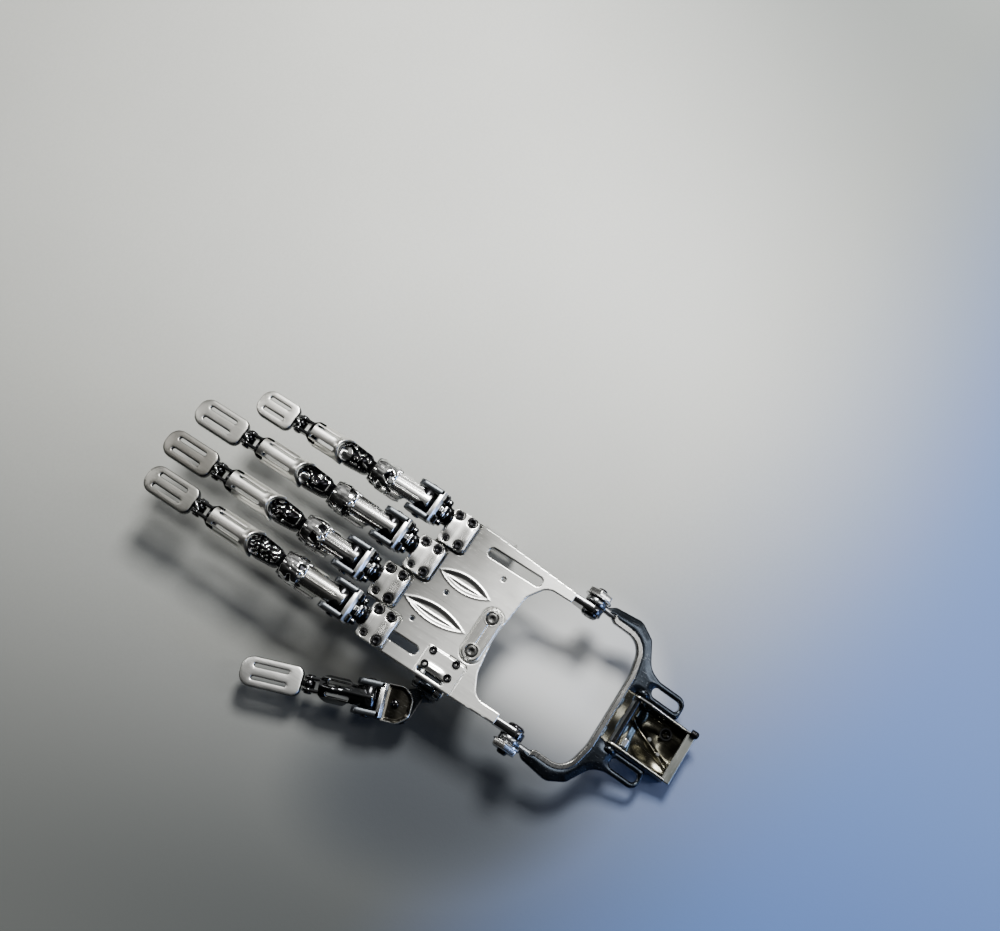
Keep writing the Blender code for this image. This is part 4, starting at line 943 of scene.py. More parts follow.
def build_proximal(name):
    """Half tube behind, a domed openwork cap ahead, a dark core and a bright strip down one side."""
    knuckle = centre_of(name + "_knuckle_pin")
    drop = centre_of(name + "_middle_pin") - knuckle
    length = drop[1]
    node = name + "_proximal_link"
    bend = tube_bend(6.2, 4.4, -2.2)
    narrow, wide = 5.55, bend.reach - 0.2
    split = length - 8.5
    shape = outline_field(mirrored([
        (narrow, -2.6, 3.4),
        (narrow, 8.4, 1.5),
        (wide, 10.9, 2.0),
        (wide, split, 1.6),
    ]))
    streaks = SEAMS[name]

    def fold(u, v, depth):
        """Seams along the tube, each -0.5 exp(-((u - x) / 0.2)^2), that stop short of its rim."""
        seams = sum(-0.5 * np.exp(-(((u - x) / 0.2) ** 2)) for x in streaks)
        return seams * smooth((v - 1.0) / 1.2) * smooth(depth / 1.2)

    fine = np.concatenate([np.linspace(x - 0.45, x + 0.45, 7) for x in streaks])
    tube = plate(shape, (-wide, wide, -2.6, split), -1.15, 0, 0.3, fold, bend, 0.3, fine_u=fine)
    make(node + "_tube", seated(tube, knuckle), TUBES_PAINTED_LIGHT_PER_FINGER[name], node, [node])
    cap_bend = tube_bend(6.3, 4.7, -2.0)
    reach = cap_bend.reach - 0.1
    half_cap = [(reach, split + 0.5, 1.0), (reach - 0.6, length - 2.5, 3.0), (5.4, length + 2.2, 4.0)]
    cap_field = outline_field(mirrored(half_cap), 10)
    turn, ribs, gap = CAP_STYLES[name]

    def lattice(u, v, depth):
        """Ribs sin(ribs a) and bars sin(0.9 b + 4 gap) on turned axes a and b, behind a clear dome."""
        a, b = u * math.cos(turn) + v * math.sin(turn), v * math.cos(turn) - u * math.sin(turn)
        pattern = np.maximum(np.sin(ribs * a), 0.9 * np.sin(0.9 * b + gap * 4))
        dome = smooth((v - length + 3.4) / 1.6)
        return np.clip(smooth(pattern * 1.2 + 0.35) * (1 - dome) + dome, 0, 1) * smooth(depth / 0.5)

    cap = plate(cap_field, (-reach, reach, split, length + 2.3), -1.1, 0, 0.3,
                lambda u, v, d: 0.75 * lattice(u, v, d) + 0.35 * smooth(d / 2.5), cap_bend, 0.24,
                mark=lambda u, v, d: np.maximum(lattice(u, v, d), smooth(1.2 - d / 0.5)))
    make(node + "_cap", seated(cap, knuckle), WORKS, node)
    z = drop[2]
    parts = [barrel(1.3, 4.2, -4.9, 4.9), block((-2.6, 1, -1.8), (2.6, length - 5.8, 3.0))]
    back = length - 10
    arm = [(back, z + 2.9, 0.5), (length, z + 3.6, 0.5), (length, z - 3.7, 0.5), (back, z - 2.2, 0.5)]
    cheek = together(disc_field(length, z, 3.7), outline_field(arm, 2))
    bored = without(cheek, disc_field(length, z, 1.5))
    parts += plate_pair(bored, (back - 0.2, length + 3.8, z - 3.8, z + 3.8), 3.3, 5.75, 0.4)
    make(node + "_core", seated(joined(*parts), knuckle), DARK, node)
    strip = outline_field([
        (-5.9, 10.5, 0.4),
        (-5.9, length + 0.5, 0.5),
        (-7.2, length - 2.0, 1.2),
        (-7.5, 13.0, 1.0),
        (-6.4, 9.6, 0.6),
    ])
    rail = plate(strip, (-7.5, -5.8, 9.6, length + 0.6), -2.9, -1.6, 0.25, step=0.2)
    make(node + "_side_rail", seated(rail, knuckle), STEEL, node)
    stud = [(0, 4.3), (1.5, 4.3), (1.75, 4.6), (1.75, 5.3), (1.5, 5.5), (1.1, 5.5), (0.9, 5.2), (0, 5.1)]
    boss = turned(stud, at=(-1.6, split + 0.6, 0), sides=32)
    bar = small_rod(0.85, 2.1, (2.0, split - 0.2, 4.6), 24)
    make(node + "_fittings", seated(joined(boss, bar), knuckle), CHROME, node)
    replaced_pin(name + "_middle_pin", 6.05, DARK)


SOCKET_START = 4.4
SOCKET_END = 21.8
SOCKET_WALL = 1.3
SOCKET_R = 5.8  # its front end's radius


def socket_field():
    """A long pear: wide and round at the front, narrower behind."""
    return outline_field(mirrored([(4.3, SOCKET_START, 3.2), (SOCKET_R, SOCKET_END, 5.6)]), 12)


def works_pattern(style):
    """How high the polished works stand, 0 in the hollows to 1: slanting ribs, steps across them and a boss.

    Ribs are sin(ribs (a + wander)) and steps |sin(0.62 b + phase)|, a and b being turned axes. style is (turn,
    ribs, phase, (boss u, boss v, boss radius), v behind which the works thin out, or None).
    """
    turn, ribs, phase, (bu, bv, br), start = style

    def pattern(u, v, depth):
        a, b = u * math.cos(turn) + v * math.sin(turn), v * math.cos(turn) - u * math.sin(turn)
        wander = 0.55 * np.sin(1.1 * b + phase) + 0.3 * np.sin(2.3 * b - a)
        rib = smooth(np.sin(ribs * (a + wander)) * 1.1 + 0.45)
        step = smooth((np.abs(np.sin(0.62 * b + phase)) - 0.22) * 6)
        high = rib * step * smooth(depth / 0.35)
        if start:
            high = high * smooth((v - start) / 2.5 + 0.5) + 0.8 * (np.abs(depth - 0.9) < 0.22) * (v < start + 1)
        if br:
            away = np.hypot((u - bu) / 1.1, v - bv)
            high = np.where(away < br + 0.7, smooth((br - away) / 0.4), high)
        return np.clip(high, 0, 1)

    return pattern


WORKS_STYLES = {
    "index": (0.42, 2.9, 0.55, (0.3, 18.6, 0.0), None),
    "middle": (0.10, 2.6, 0.8, (-1.5, 18.5, 0.9), 11.5),
    "ring": (-0.5, 1.6, 1.1, (-1.6, 17.8, 2.7), 10.5),
    "little": (-0.15, 2.2, 0.7, (-1.0, 17.4, 3.3), None),
}


def tip_cheeks(end, length, drop):
    """Two ears from a link's front end to its tip hinge, which lies at this length and drop."""
    bar = [(end - 3, 1.2, 0.4), (length, drop + 2.8, 0.4), (length, drop - 2.9, 0.4), (end - 3, -2, 0.4)]
    cheek = together(disc_field(length, drop, 2.9), outline_field(bar, 2))
    bored = without(cheek, disc_field(length, drop, 1.4))
    return plate_pair(bored, (end - 3.2, length + 3, drop - 3, 1.4), 1.9, 3.5, 0.35, step=0.25)


def build_middle(name):
    """A black pear-shaped socket with polished works in it, a slotted half tube and a neck to the tip."""
    axis = centre_of(name + "_middle_pin")
    tip = centre_of(name + "_tip_pin") - axis
    length, drop = tip[1], tip[2]
    node = name + "_middle_link"
    end = length - 4.5
    bend = tube_bend(6.2, 3.2, -1.8)
    wide = bend.reach - 0.1
    start = SOCKET_END - 4.4
    shape = outline_field(mirrored([(wide, start, 1.0), (wide, end - 5.6, 2.4), (5.2, end - 2.6, 1.6)]))
    hug = disc_field(0, SOCKET_END - 5.8, 6.25)
    slots_at = (SOCKET_END + end - 2.6) / 2 + 0.4
    slots_long = min(15.0, end - SOCKET_END - 5.0)
    slots = [slot_field(side * 3.24, slots_at, 1.7, slots_long) for side in (1, -1)]

    def round_socket(u, v):
        return hug(bend.radius * np.sin(u / bend.radius), v)

    def collar(u, v, depth):
        """A collar 0.55 exp(-(distance to the socket / 1.5)^2), and a slight hollow down each side."""
        away = -round_socket(u, v)
        hollow = 0.35 * np.exp(-(((np.abs(u) - 5.6) / 1.1) ** 2)) * smooth((away - 2.0) / 3.0)
        return 0.55 * np.exp(-((away / 1.5) ** 2)) - hollow

    field = without(shape, round_socket, *slots)
    tube = plate(field, (-wide, wide, start, end - 2.5), -1.3, 0, 0.2, collar, bend, 0.26)
    make(node + "_tube", seated(tube, axis), TROUGH, node, [node])
    pear = socket_field()
    extent = (-SOCKET_R, SOCKET_R, SOCKET_START, SOCKET_END)
    wall = plate(band(pear, 0.75), extent, -4.0, 2.4, 0.35, step=0.22)
    brow = plate(band(pear, SOCKET_WALL), extent, -4.0, 1.4, 0.3, step=0.26)
    floor = plate(lambda u, v: pear(u, v) - 0.3, extent, -3.9, -2.6, 0.2, step=0.5)
    tongue = outline_field(mirrored([(3.0, 0, 0.4), (3.3, 6, 0.4)]), 3)
    neck = plate(tongue, (-3.3, 3.3, 0, 6), -3.0, 1.6, 0.5)
    eye = turned([
        (1.35, -3.0),
        (3.0, -3.0),
        (3.3, -2.7),
        (3.3, -0.9),
        (2.9, -0.7),
        (2.9, 0.7),
        (3.3, 0.9),
        (3.3, 2.7),
        (3.0, 3.0),
        (1.35, 3.0),
        (1.35, -3.0),
    ], "x")
    make(node + "_socket", seated(joined(wall, brow, floor, neck, eye), axis), SOCKET, node)
    pattern = works_pattern(WORKS_STYLES[name])
    works = plate(lambda u, v: pear(u, v) - 0.85, extent, -2.5, 0.5, 0.2,
                  lambda u, v, d: 1.1 * pattern(u, v, d) + 1.1 * smooth(d / 4.0), step=0.16, mark=pattern)
    make(node + "_works", seated(works, axis), WORKS, node)
    half_neck = [(5.6, end - 6.5, 0.5), (5.4, end - 3.2, 1.6), (NECK_HALF, end - 0.4, 1.0)]
    shoulders = outline_field(mirrored(half_neck), 5)

    def slope(u, v, depth):
        """Falls away towards the tip hinge and at the sides."""
        return -0.9 * smooth((v - end + 3.4) / 3.0) - 0.06 * u * u * 0.6

    top = plate(shoulders, (-5.6, 5.6, end - 6.5, end - 0.4), -1.9, 1.9, 0.5, slope)
    make(node + "_neck", seated(joined(top, *tip_cheeks(end, length, drop)), axis), SOCKET, node)
    replaced_pin(name + "_tip_pin", TIP_PIN_OUT, DARK)


TIP_HALF = 6.6
TIP_START = 3.8


def tip_outline(length):
    """Distance in from a fingertip plate's outline."""
    return outline_field(mirrored([(TIP_HALF, TIP_START, 3.4), (TIP_HALF, length, 5.4)]), 12)


def tip_form(length):
    """A fingertip plate with two lengthwise slots, its crown falling as 0.25 (u / half)^2."""
    middle = (TIP_START + length) / 2
    slots = [slot_field(side * 2.9, middle + 0.3, 1.75, (length - TIP_START) * 0.58) for side in (1, -1)]

    def press(u, v, depth):
        """A soft shoulder 0.22 exp(-d / 0.7) below the crown, which droops at the far end."""
        droop = 0.35 * smooth((v - length + 7) / 7) ** 2
        return -0.22 * np.exp(-depth / 0.7) - 0.25 * (u / TIP_HALF) ** 2 - droop

    def wall_shade_mark(u, v, depth):
        """Painted shade: only the walls and their very edge are marked, by exp(-d / 0.1), and the face stays
        clean.
        """
        return np.exp(-depth / 0.1)

    extent = (-TIP_HALF, TIP_HALF, TIP_START, length)
    return plate(without(tip_outline(length), *slots), extent, -1.2, 1.2, 0.22, press, step=0.25, mark=wall_shade_mark)


def tip_shade_ring(length):
    """A near black ring round the underside of a fingertip plate, painted shade for its shaded sides."""
    body = tip_outline(length)
    over = 0.25
    extent = (-TIP_HALF - over, TIP_HALF + over, TIP_START - over, length + over)

    def ring(u, v):
        return np.minimum(body(u, v) + 0.22, 1.0 - body(u, v))

    return plate(ring, extent, -2.8, 0.0, 0.3, step=0.25)


def tongue_form():
    """The eye on the tip hinge's pin, and the bar from it to the fingertip plate."""
    eye = barrel(1.35, 2.6, -1.6, 1.6, chamfer=0.2, sides=32)
    bar = block((-1.3, 0.6, -1.1), (1.3, TIP_START + 1.2, 0.95), 0.35, 0.4, 0.25)
    return joined(eye, bar)


def tongue_clip():
    """The bright clip over the tip hinge: a bar bowed over the eye."""
    t = np.linspace(0, 1, 16)
    bow = np.stack([-1.4 + 2.6 * t, -0.4 + 3.0 * t, 2.3 + 0.5 * np.sin(math.pi * t)], 1)
    return carried(bow, 0.62)


def build_tip(name):
    """A fingertip: the plate with a near black ring of painted shade under it, the tongue to its hinge and the
    clip over it.
    """
    axis = centre_of(name + "_tip_pin")
    node = name + "_tip_plate"
    length = corners_of(node)[1][1] - axis[1]
    make(node + "_pad", seated(tip_form(length), axis), TIPS_PAINTED_LIGHT_PER_FINGER[name], node, [node])
    # Painted shade: the near black ring under the plate.
    make(node + "_painted_shade_ring", seated(tip_shade_ring(length), axis), DARK, node)
    make(node + "_tongue", seated(tongue_form(), axis), SOCKET, node)
    make(node + "_clip", seated(tongue_clip(), axis), CHROME, node)


# ---- thumb ----

THUMB_LOW = 12.9  # the thumb fork's height above the table
THUMB_HIGH = 19.1
THUMB_SWIVEL = centre_of("thumb_swivel_pin") * (1, 1, 0)


def set_down(form, origin):
    """Turns a surface to the thumb's direction and moves it to its place."""
    return seated(form, origin, THUMB_YAW)


def build_thumb_fork():
    """The D-shaped disc with its bright rim, the crossbar and the prongs, on the thumb's swivel pin."""
    dee = outline_field(mirrored([(4.6, -7.6, 5.0), (8.4, -2.6, 4.0), (8.4, 5.0, 0.4)]), 10)

    def dished(u, v, depth):
        """Sinks 0.6 inside the rim, with a low swell across the middle."""
        return -0.6 * smooth((depth - 0.5) / 1.4) + 0.35 * np.exp(-(((v + 1.5) / 2.6) ** 2))

    disc = plate(dee, (-8.4, 8.4, -7.7, 5.0), THUMB_LOW, 15.5, 0.4, dished, step=0.28)
    rim = plate(band(lambda u, v: dee(u, v) + 0.15, 0.7), (-8.6, 8.6, -7.9, 5.0), 14.2, 15.75, 0.3, step=0.2)
    node = "thumb_fork"
    make(node + "_disc", set_down(disc, THUMB_SWIVEL), DISC, node, [node])
    make(node + "_rim", set_down(rim, THUMB_SWIVEL), STEEL, node)
    bar = crossbar(4.2, 3.2, THUMB_LOW, THUMB_HIGH)
    make(node + "_crossbar", set_down(bar, THUMB_SWIVEL), RIM, node)
    make(node + "_prongs", set_down(prongs(5.7, 18.5, THUMB_LOW, THUMB_HIGH), THUMB_SWIVEL), SLATE, node)
    pin = turned([
        (0, 6.6),
        (1.5, 6.6),
        (1.9, 6.9),
        (1.9, 7.2),
        (1.25, 7.2),
        (1.25, 15.8),
        (1.9, 15.8),
        (1.9, 16.2),
        (1.5, 16.6),
        (0.6, 16.7),
        (0.5, 16.4),
        (0, 16.4),
    ])
    make("thumb_swivel_pin_turned", set_down(pin, THUMB_SWIVEL), DARK, "thumb_swivel_pin", ["thumb_swivel_pin"])


def build_thumb_link():
    """The thumb's polished link and its tip plate."""
    knuckle = centre_of("thumb_knuckle_pin")
    tip = centre_of("thumb_tip_pin")
    replaced_pin("thumb_knuckle_pin", PIN_OUT, DARK, THUMB_YAW)
    replaced_pin("thumb_tip_pin", TIP_PIN_OUT, DARK, THUMB_YAW)
    length = math.hypot(*(tip - knuckle)[:2])
    drop = (tip - knuckle)[2]
    end = length - 4.5
    bend = tube_bend(6.2, 4.0, -2.2)
    narrow, wide = 5.5, bend.reach - 0.1
    shape = outline_field(mirrored([
        (narrow, -2.4, 2.6),
        (narrow, 8.4, 1.5),
        (wide, 10.9, 2.0),
        (wide, end - 4.5, 2.4),
        (4.4, end - 0.6, 1.4),
    ]))
    slots = [slot_field(side * 3.2, end / 2 + 2.0, 2.0, 11.0) for side in (1, -1)]

    def ridge(u, v, depth):
        """A rounded keel along the crown that swells into a knob before the tip hinge."""
        knob = np.exp(-((v - end + 6.5) / 3.2) ** 2 - ((u + 1.0) / 2.0) ** 2)
        return 0.4 * np.exp(-((u / 1.0) ** 2)) + 1.5 * knob

    extent = (-wide, wide, -2.4, end - 0.5)
    tube = plate(without(shape, *slots), extent, -1.15, 0, 0.3, ridge, bend, 0.28)
    node = "thumb_link"
    make(node + "_tube", set_down(tube, knuckle), CHROME_DARK, node, [node])
    core = block((-1.9, 1, -1.8), (1.9, end - 1, 2.6))
    neck = block((-NECK_HALF, end - 4, -1.8), (NECK_HALF, end - 0.4, 1.9), 0.4, 1.0)
    parts = [barrel(1.3, 4.2, -4.9, 4.9), core, neck, *tip_cheeks(end, length, drop)]
    make(node + "_core", set_down(joined(*parts), knuckle), DARK, node)
    node = "thumb_tip_plate"
    pad = 32.2  # length, from the tip hinge
    make(node + "_pad", set_down(tip_form(pad), tip), TIP_THUMB, node, [node])
    # Painted shade: the near black ring under the thumb's tip plate.
    make(node + "_painted_shade_ring", set_down(tip_shade_ring(pad), tip), DARK, node)
    make(node + "_tongue", set_down(tongue_form(), tip), DARK, node)


def build_thumb_arm():
    """The arm from the base hinge under the palm down to a foot and the post that carries the swivel."""
    hinge = centre_of("thumb_base_pin")
    base_pin = turned([
        (0, -7.6),
        (1.4, -7.5),
        (1.9, -7.1),
        (1.25, -7.0),
        (1.25, 7.0),
        (1.9, 7.1),
        (1.4, 7.5),
        (0, 7.6),
    ], "y")
    make("thumb_base_pin_turned", seated(base_pin, hinge), STEEL, "thumb_base_pin", ["thumb_base_pin"])
    post_x, post_y, _ = THUMB_SWIVEL - hinge * (1, 1, 0)
    foot_low = -23.6
    web = outline_field([(1.5, -1.3, 0.6), (-2.6, -1.3, 0.6), (-2.6, foot_low, 0.2), (1.2, foot_low, 0.2)], 3)
    foot = outline_field([
        (1.2, -3.5, 0.5),
        (1.2, 3.5, 0.5),
        (post_x + 5, post_y + 6, 3),
        (post_x - 6, post_y + 5, 4),
        (post_x - 6, post_y - 6, 4),
    ])
    post = [
        (0, -22.0),
        (5.2, -22.0),
        (5.2, -12.0),
        (4.9, -11.6),
        (4.9, -11.3),
        (5.2, -11.1),
        (4.9, -11.0),
        (1.6, -11.0),
        (1.6, -11.2),
        (0, -11.2),
    ]
    arm = joined(
        barrel(1.35, 3.0, -3.5, 3.5, "y"),
        plate(web, (-2.6, 1.5, foot_low, -1.3), -3.5, 3.5, 0.4, bend=upright),
        plate(foot, (post_x - 6.2, 1.3, post_y - 6.4, post_y + 6.4), foot_low, -21.2, 0.45),
        turned(post, at=(post_x, post_y, 0)),
    )
    make("thumb_arm_web", seated(arm, hinge), GUNMETAL, "thumb_arm", ["thumb_arm"])


def build_thumb_mount():
    """The block under the palm with two ears for the base hinge, and its four screws with their nut plate."""
    hinge = centre_of("thumb_base_pin")
    at = np.array([*centre_of("thumb_mount_screws")[:2], PLATE_TOP])
    hx, hz = hinge[0] - at[0], hinge[2] - PLATE_TOP
    body = [block((-5.8, -8.5, -7.3), (6.2, 8.5, -2.3), 0.4, 1.0)]
    lobe = outline_field([(-5, -7.3, 0.2), (-5, -2.3, 0.2), (hx, hz + 2.9, 0.2), (hx, hz - 2.9, 0.2)], 2)
    ear = without(together(disc_field(hx, hz, 3.0), lobe), disc_field(hx, hz, 1.4))
    body += plate_pair(ear, (hx - 3.2, -4.8, hz - 3.2, -2.2), 3.8, 6.8, 0.35, bend=upright)
    make("thumb_mount_block", seated(joined(*body), at), GUNMETAL, "thumb_mount", ["thumb_mount"])
    places = [(sx * 3.45, sy * 5.95) for sx in (1, -1) for sy in (1, -1)]
    screws = [socket_screw(x, y, 0.1, HEAD_R, 1.2, -8.6) for x, y in places]
    nuts = nut_plate(11.5, 16.5, -9.0, -7.6, 0.05)
    node = "thumb_mount_screws"
    make(node + "_set", seated(joined(*screws, nuts), at), BLACK, node, [node])


# ---- wrist ----

YOKE_TILT = math.radians(17.0)
YOKE_HALF_T = 1.5
EAR_IN = LUG_OUT + 0.3
EAR_OUT = 37.3
EAR_T = 2.6
TAIL_IN = 13.2
TAIL_OUT = 23.5
TAIL_END = -60


def yoke_outer():
    """The bow's outer side with its two tails, from the right ear round to the left."""
    return mirrored([
        (EAR_OUT, -6, 0.5),
        (39.6, -9, 4),
        (41.4, -23, 6),
        (37.0, -31, 4),
        (26, -37.5, 9),
        (TAIL_OUT, -44, 9),
        (TAIL_OUT, TAIL_END, 4.5),
        (TAIL_IN, TAIL_END, 2),
        (TAIL_IN, -36.4, 1.5),
    ])


def yoke_inner(end):
    """The bow's inner side, from the left ear round to the right, its first and last corners as given."""
    half = [end, (EAR_IN, -9.5, 1.5), (32.8, -12, 2), (32.8, -27, 9), (18, -30.5, 20)]
    return mirrored(half)[::-1]


def build_wrist():
    """The yoke with its grey rim, which carries a painted highlight line, its apron, and the two bolts with
    their nuts.
    """
    seat = PALM + HINGE * (0, 1, 1) + (WRIST_X, 0, 0)
    outer = outline_field(yoke_outer() + yoke_inner((EAR_IN, -6, 0.3)))
    straps = [slot_field(side * (TAIL_IN + TAIL_OUT) / 2, -50.7, 4.6, 15.0) for side in (1, -1)]
    opening = outline_field(yoke_inner((EAR_IN, 6, 0)))
    extent = (-41.6, 41.6, -60.2, -5.8)

    def bowed(u, v, depth):
        """A slight crown between the inner rim and the outer edge."""
        return 0.5 * smooth(depth / 4.0)

    parts = [plate(without(outer, *straps), extent, -YOKE_HALF_T, YOKE_HALF_T - 0.2, 0.7, bowed, step=0.36)]
    ear = without(together(disc_field(0, 0, 5.0), box_field(-6.5, 0, 13, 2.9, 0.2)), disc_field(0, 0, 2.6))
    parts += plate_pair(ear, (-13.2, 5.2, -5.2, 5.2), EAR_IN, EAR_OUT, 0.4)
    for low in (TAIL_IN, -TAIL_IN - EAR_T):
        parts.append(barrel(1.6, 3.4, low, low + EAR_T, at=(0, -40.5, 0)))
    make("wrist_yoke_bow", seated(joined(*parts), seat, tilt=YOKE_TILT), GUNMETAL, "wrist_yoke", ["wrist_yoke"])

    def rim_field(u, v):
        """The 2.7 mm of the bow beside the opening, ending short of the ears."""
        return np.minimum(np.minimum(outer(u, v) - 0.05, 2.7 + opening(u, v)), -13.0 - v + 2.5)

    # Painted highlight: the mark puts a thin near white line along the rim's side away from the opening.
    rim = plate(rim_field, extent, 1.1, 2.0, 0.3, step=0.25,
                mark=lambda u, v, d: np.exp(-np.abs(rim_field(u, v)) / 0.45) * (opening(u, v) < -1.3))
    make("wrist_yoke_rim", seated(rim, seat, tilt=YOKE_TILT), RIM, "wrist_yoke")
    apron = outline_field(mirrored([(TAIL_IN - 0.8, -33.2, 0.4), (TAIL_IN - 0.4, -37.5, 1.0)]))
    hollow = plate(apron, (-TAIL_IN, TAIL_IN, -37.5, -33.2), 0.8, 2.05, 0.3,
                   lambda u, v, d: 0.25 * np.cos(u * 0.42 + 0.8) * smooth(d / 0.8), step=0.25)
    make("wrist_yoke_apron", seated(hollow, seat, tilt=YOKE_TILT), OLIVE, "wrist_yoke")
    for side, sign in (("right", 1), ("left", -1)):
        build_wrist_bolt(side, sign, seat)


def build_wrist_bolt(side, sign, seat):
    """A domed bolt from inside a lug, and the flanged hexagonal nut outside the yoke's ear."""
    start = LUG_IN - 0.3
    face = EAR_OUT + 0.3
    end = face + 3.6
    bolt = [
        (0, start - 1.6),
        (1.2, start - 1.6),
        (1.3, start - 1.2),
        (1.8, start - 1.2),
        (1.9, start - 1.6),
        (3.2, start - 1.6),
        (3.8, start - 1.0),
        (4.0, start - 0.6),
        (4.0, start),
        (2.4, start),
        (2.4, end + 0.7),
        (2.2, end + 1.1),
        (1.8, end + 1.5),
        (0, end + 1.6),
    ]
    washer = [
        (2.7, face),
        (6.1, face),
        (6.4, face + 0.25),
        (6.4, face + 0.75),
        (6.1, face + 1.0),
        (2.7, face + 1.0),
        (2.7, face),
    ]
    hexed = [
        (2.6, face + 0.9),
        (6.2, face + 0.9),
        (6.2, face + 1.0),
        (6.2, end - 0.5),
        (5.9, end - 0.15),
        (5.3, end),
        (3.0, end),
        (2.6, end - 0.3),
        (2.6, face + 0.9),
    ]
    bolt, washer, hexed = [[(r, sign * x) for r, x in profile] for profile in (bolt, washer, hexed)]
    node = "wrist_bolt_" + side
    make(node + "_turned", seated(turned(bolt, "x", sides=40), seat), DARK, node, [node])
    nut = joined(turned(washer, "x", sides=48), turned(hexed, "x", sides=60, six=(1, 2, 3, 4, 5)))
    node = "wrist_nut_" + side
    make(node + "_hex", seated(nut, seat), NUT, node, [node])


def build_clevis():
    """The trough: its shell and dish, a bright edge and lip, knobs, a cup, the end plug and its pin."""
    axis = centre_of("clevis_pin")
    low, high = corners_of("wrist_clevis")
    half = (high[0] - low[0]) / 2
    rear = low[1] + 2.6 - axis[1]
    floor = -axis[2]
    side = outline_field([
        (-4.5, 3.6, 0.8),
        (3.6, 3.6, 3.3),
        (3.4, -5.5, 2.0),
        (-3, floor, 3.0),
        (rear, floor, 0.6),
        (rear, floor + 10, 0.6),
    ])
    bored = without(side, disc_field(0, 0, 1.55))
    wall_t = 1.6
    walls = plate_pair(bored, (rear, 3.7, floor, 3.7), half - wall_t, half, 0.4)
    base = block((-half + 0.4, rear + 0.2, floor), (half - 0.4, -3.2, floor + wall_t), 0.3, 1.0)
    back = block((-half + 0.4, rear, floor + 0.2), (half - 0.4, rear + wall_t, floor + 9.6), 0.3, 0.4)

    def saddle(u, v, depth):
        """Swells 1.3 cos(0.34 (u + 2)) cos(0.24 (v + 12)), a slanting fold, and a rise to the front."""
        swell = 1.3 * np.cos((u + 2) * 0.34) * np.cos((v + 12) * 0.24)
        fold = 1.2 * np.exp(-(((u - 0.45 * v - 5.0) / 1.3) ** 2))
        return (swell + fold) * smooth(depth / 1.6) + 3.6 * smooth((v + 8.5) / 6.0) ** 1.5

    tray = box_field(0, (rear - wall_t) / 2 + 0.4, 2 * half - 3.4, -rear - 1.8, 0.5)
    dish = plate(tray, (-half, half, rear, 2.0), floor + wall_t, floor + 2.9, 0.2, saddle, step=0.28)
    make("wrist_trough_dish", seated(dish, axis), OLIVE, "wrist_clevis")
    shell = joined(*walls, base, back)
    make("wrist_trough_shell", seated(shell, axis), OLIVE, "wrist_clevis", ["wrist_clevis"])
    high_end = [(rear + 6.0, floor + 10.6), (rear + 0.8, floor + 10.4)]
    top_edge = np.array([(0.4, 3.3), (-6.0, 3.3), (-11.5, 1.0), *high_end])
    t = np.linspace(0, 1, 60)
    y, z = [np.interp(t, np.linspace(0, 1, len(top_edge)), row) for row in top_edge.T]
    run = np.stack([np.full_like(t, half - wall_t / 2), y, z], 1)
    make("wrist_trough_edge", seated(carried(run, 0.62), axis), CHROME, "wrist_clevis")
    lip = block((-half, rear - 2.6, floor + 8.5), (half, rear + wall_t, floor + 10.05), 0.3, 0.4, 0.3)
    make("wrist_trough_lip", seated(lip, axis), LIP, "wrist_clevis")
    knobs = [block((-half + 2.0, -5.4, 2.2), (-half + 6.2, -3.0, 4.2), 0.3, 0.5)]
    for x, y, r in ((0.5, -13.0, 1.3), (-3.2, -19.5, 1.2)):
        profile = [(0, 1.4), (r, 1.4), (r, 4.6), (r * 0.7, 5.2), (0, 5.3)]
        knobs.append(turned(profile, at=(x, y, floor), sides=32))
    make("wrist_trough_fittings", seated(joined(*knobs), axis), CHROME, "wrist_clevis")
    bowl = [(1.0, 2.4), (2.6, 2.4), (3.0, 5.5), (2.8, 6.4), (2.2, 6.4), (1.8, 3.6), (1.0, 3.2), (1.0, 2.4)]
    cup = turned(bowl, at=(6.2, -18.0, floor), sides=40)
    make("wrist_trough_cup", seated(cup, axis), DARK, "wrist_clevis")
    plug = [(0, 0.6), (1.5, 0.6), (1.75, 0.2), (1.75, -2.2), (1.4, -2.9), (0.7, -3.2), (0, -3.25)]
    end = turned(plug, "y", at=(half - 0.6, rear, floor + 11.9))
    make("wrist_trough_end_plug", seated(end, axis), BLACK, "wrist_clevis")
    pin = cross_pin(TAIL_IN + EAR_T + 0.3)
    make("clevis_pin_turned", seated(pin, axis), DARK, "clevis_pin", ["clevis_pin"])


# ---- the room ----

CAMERA_TARGET = np.array([83.19, 1.95, 30.0]) * MM
CAMERA_DISTANCE = 0.5622
CAMERA_AZIMUTH = math.radians(-57)
CAMERA_ELEVATION = math.radians(72)
IMAGE_RIGHT = np.array([math.cos(CAMERA_AZIMUTH), math.sin(CAMERA_AZIMUTH), 0])
IMAGE_UP = np.array([-math.sin(CAMERA_AZIMUTH), math.cos(CAMERA_AZIMUTH), 0])


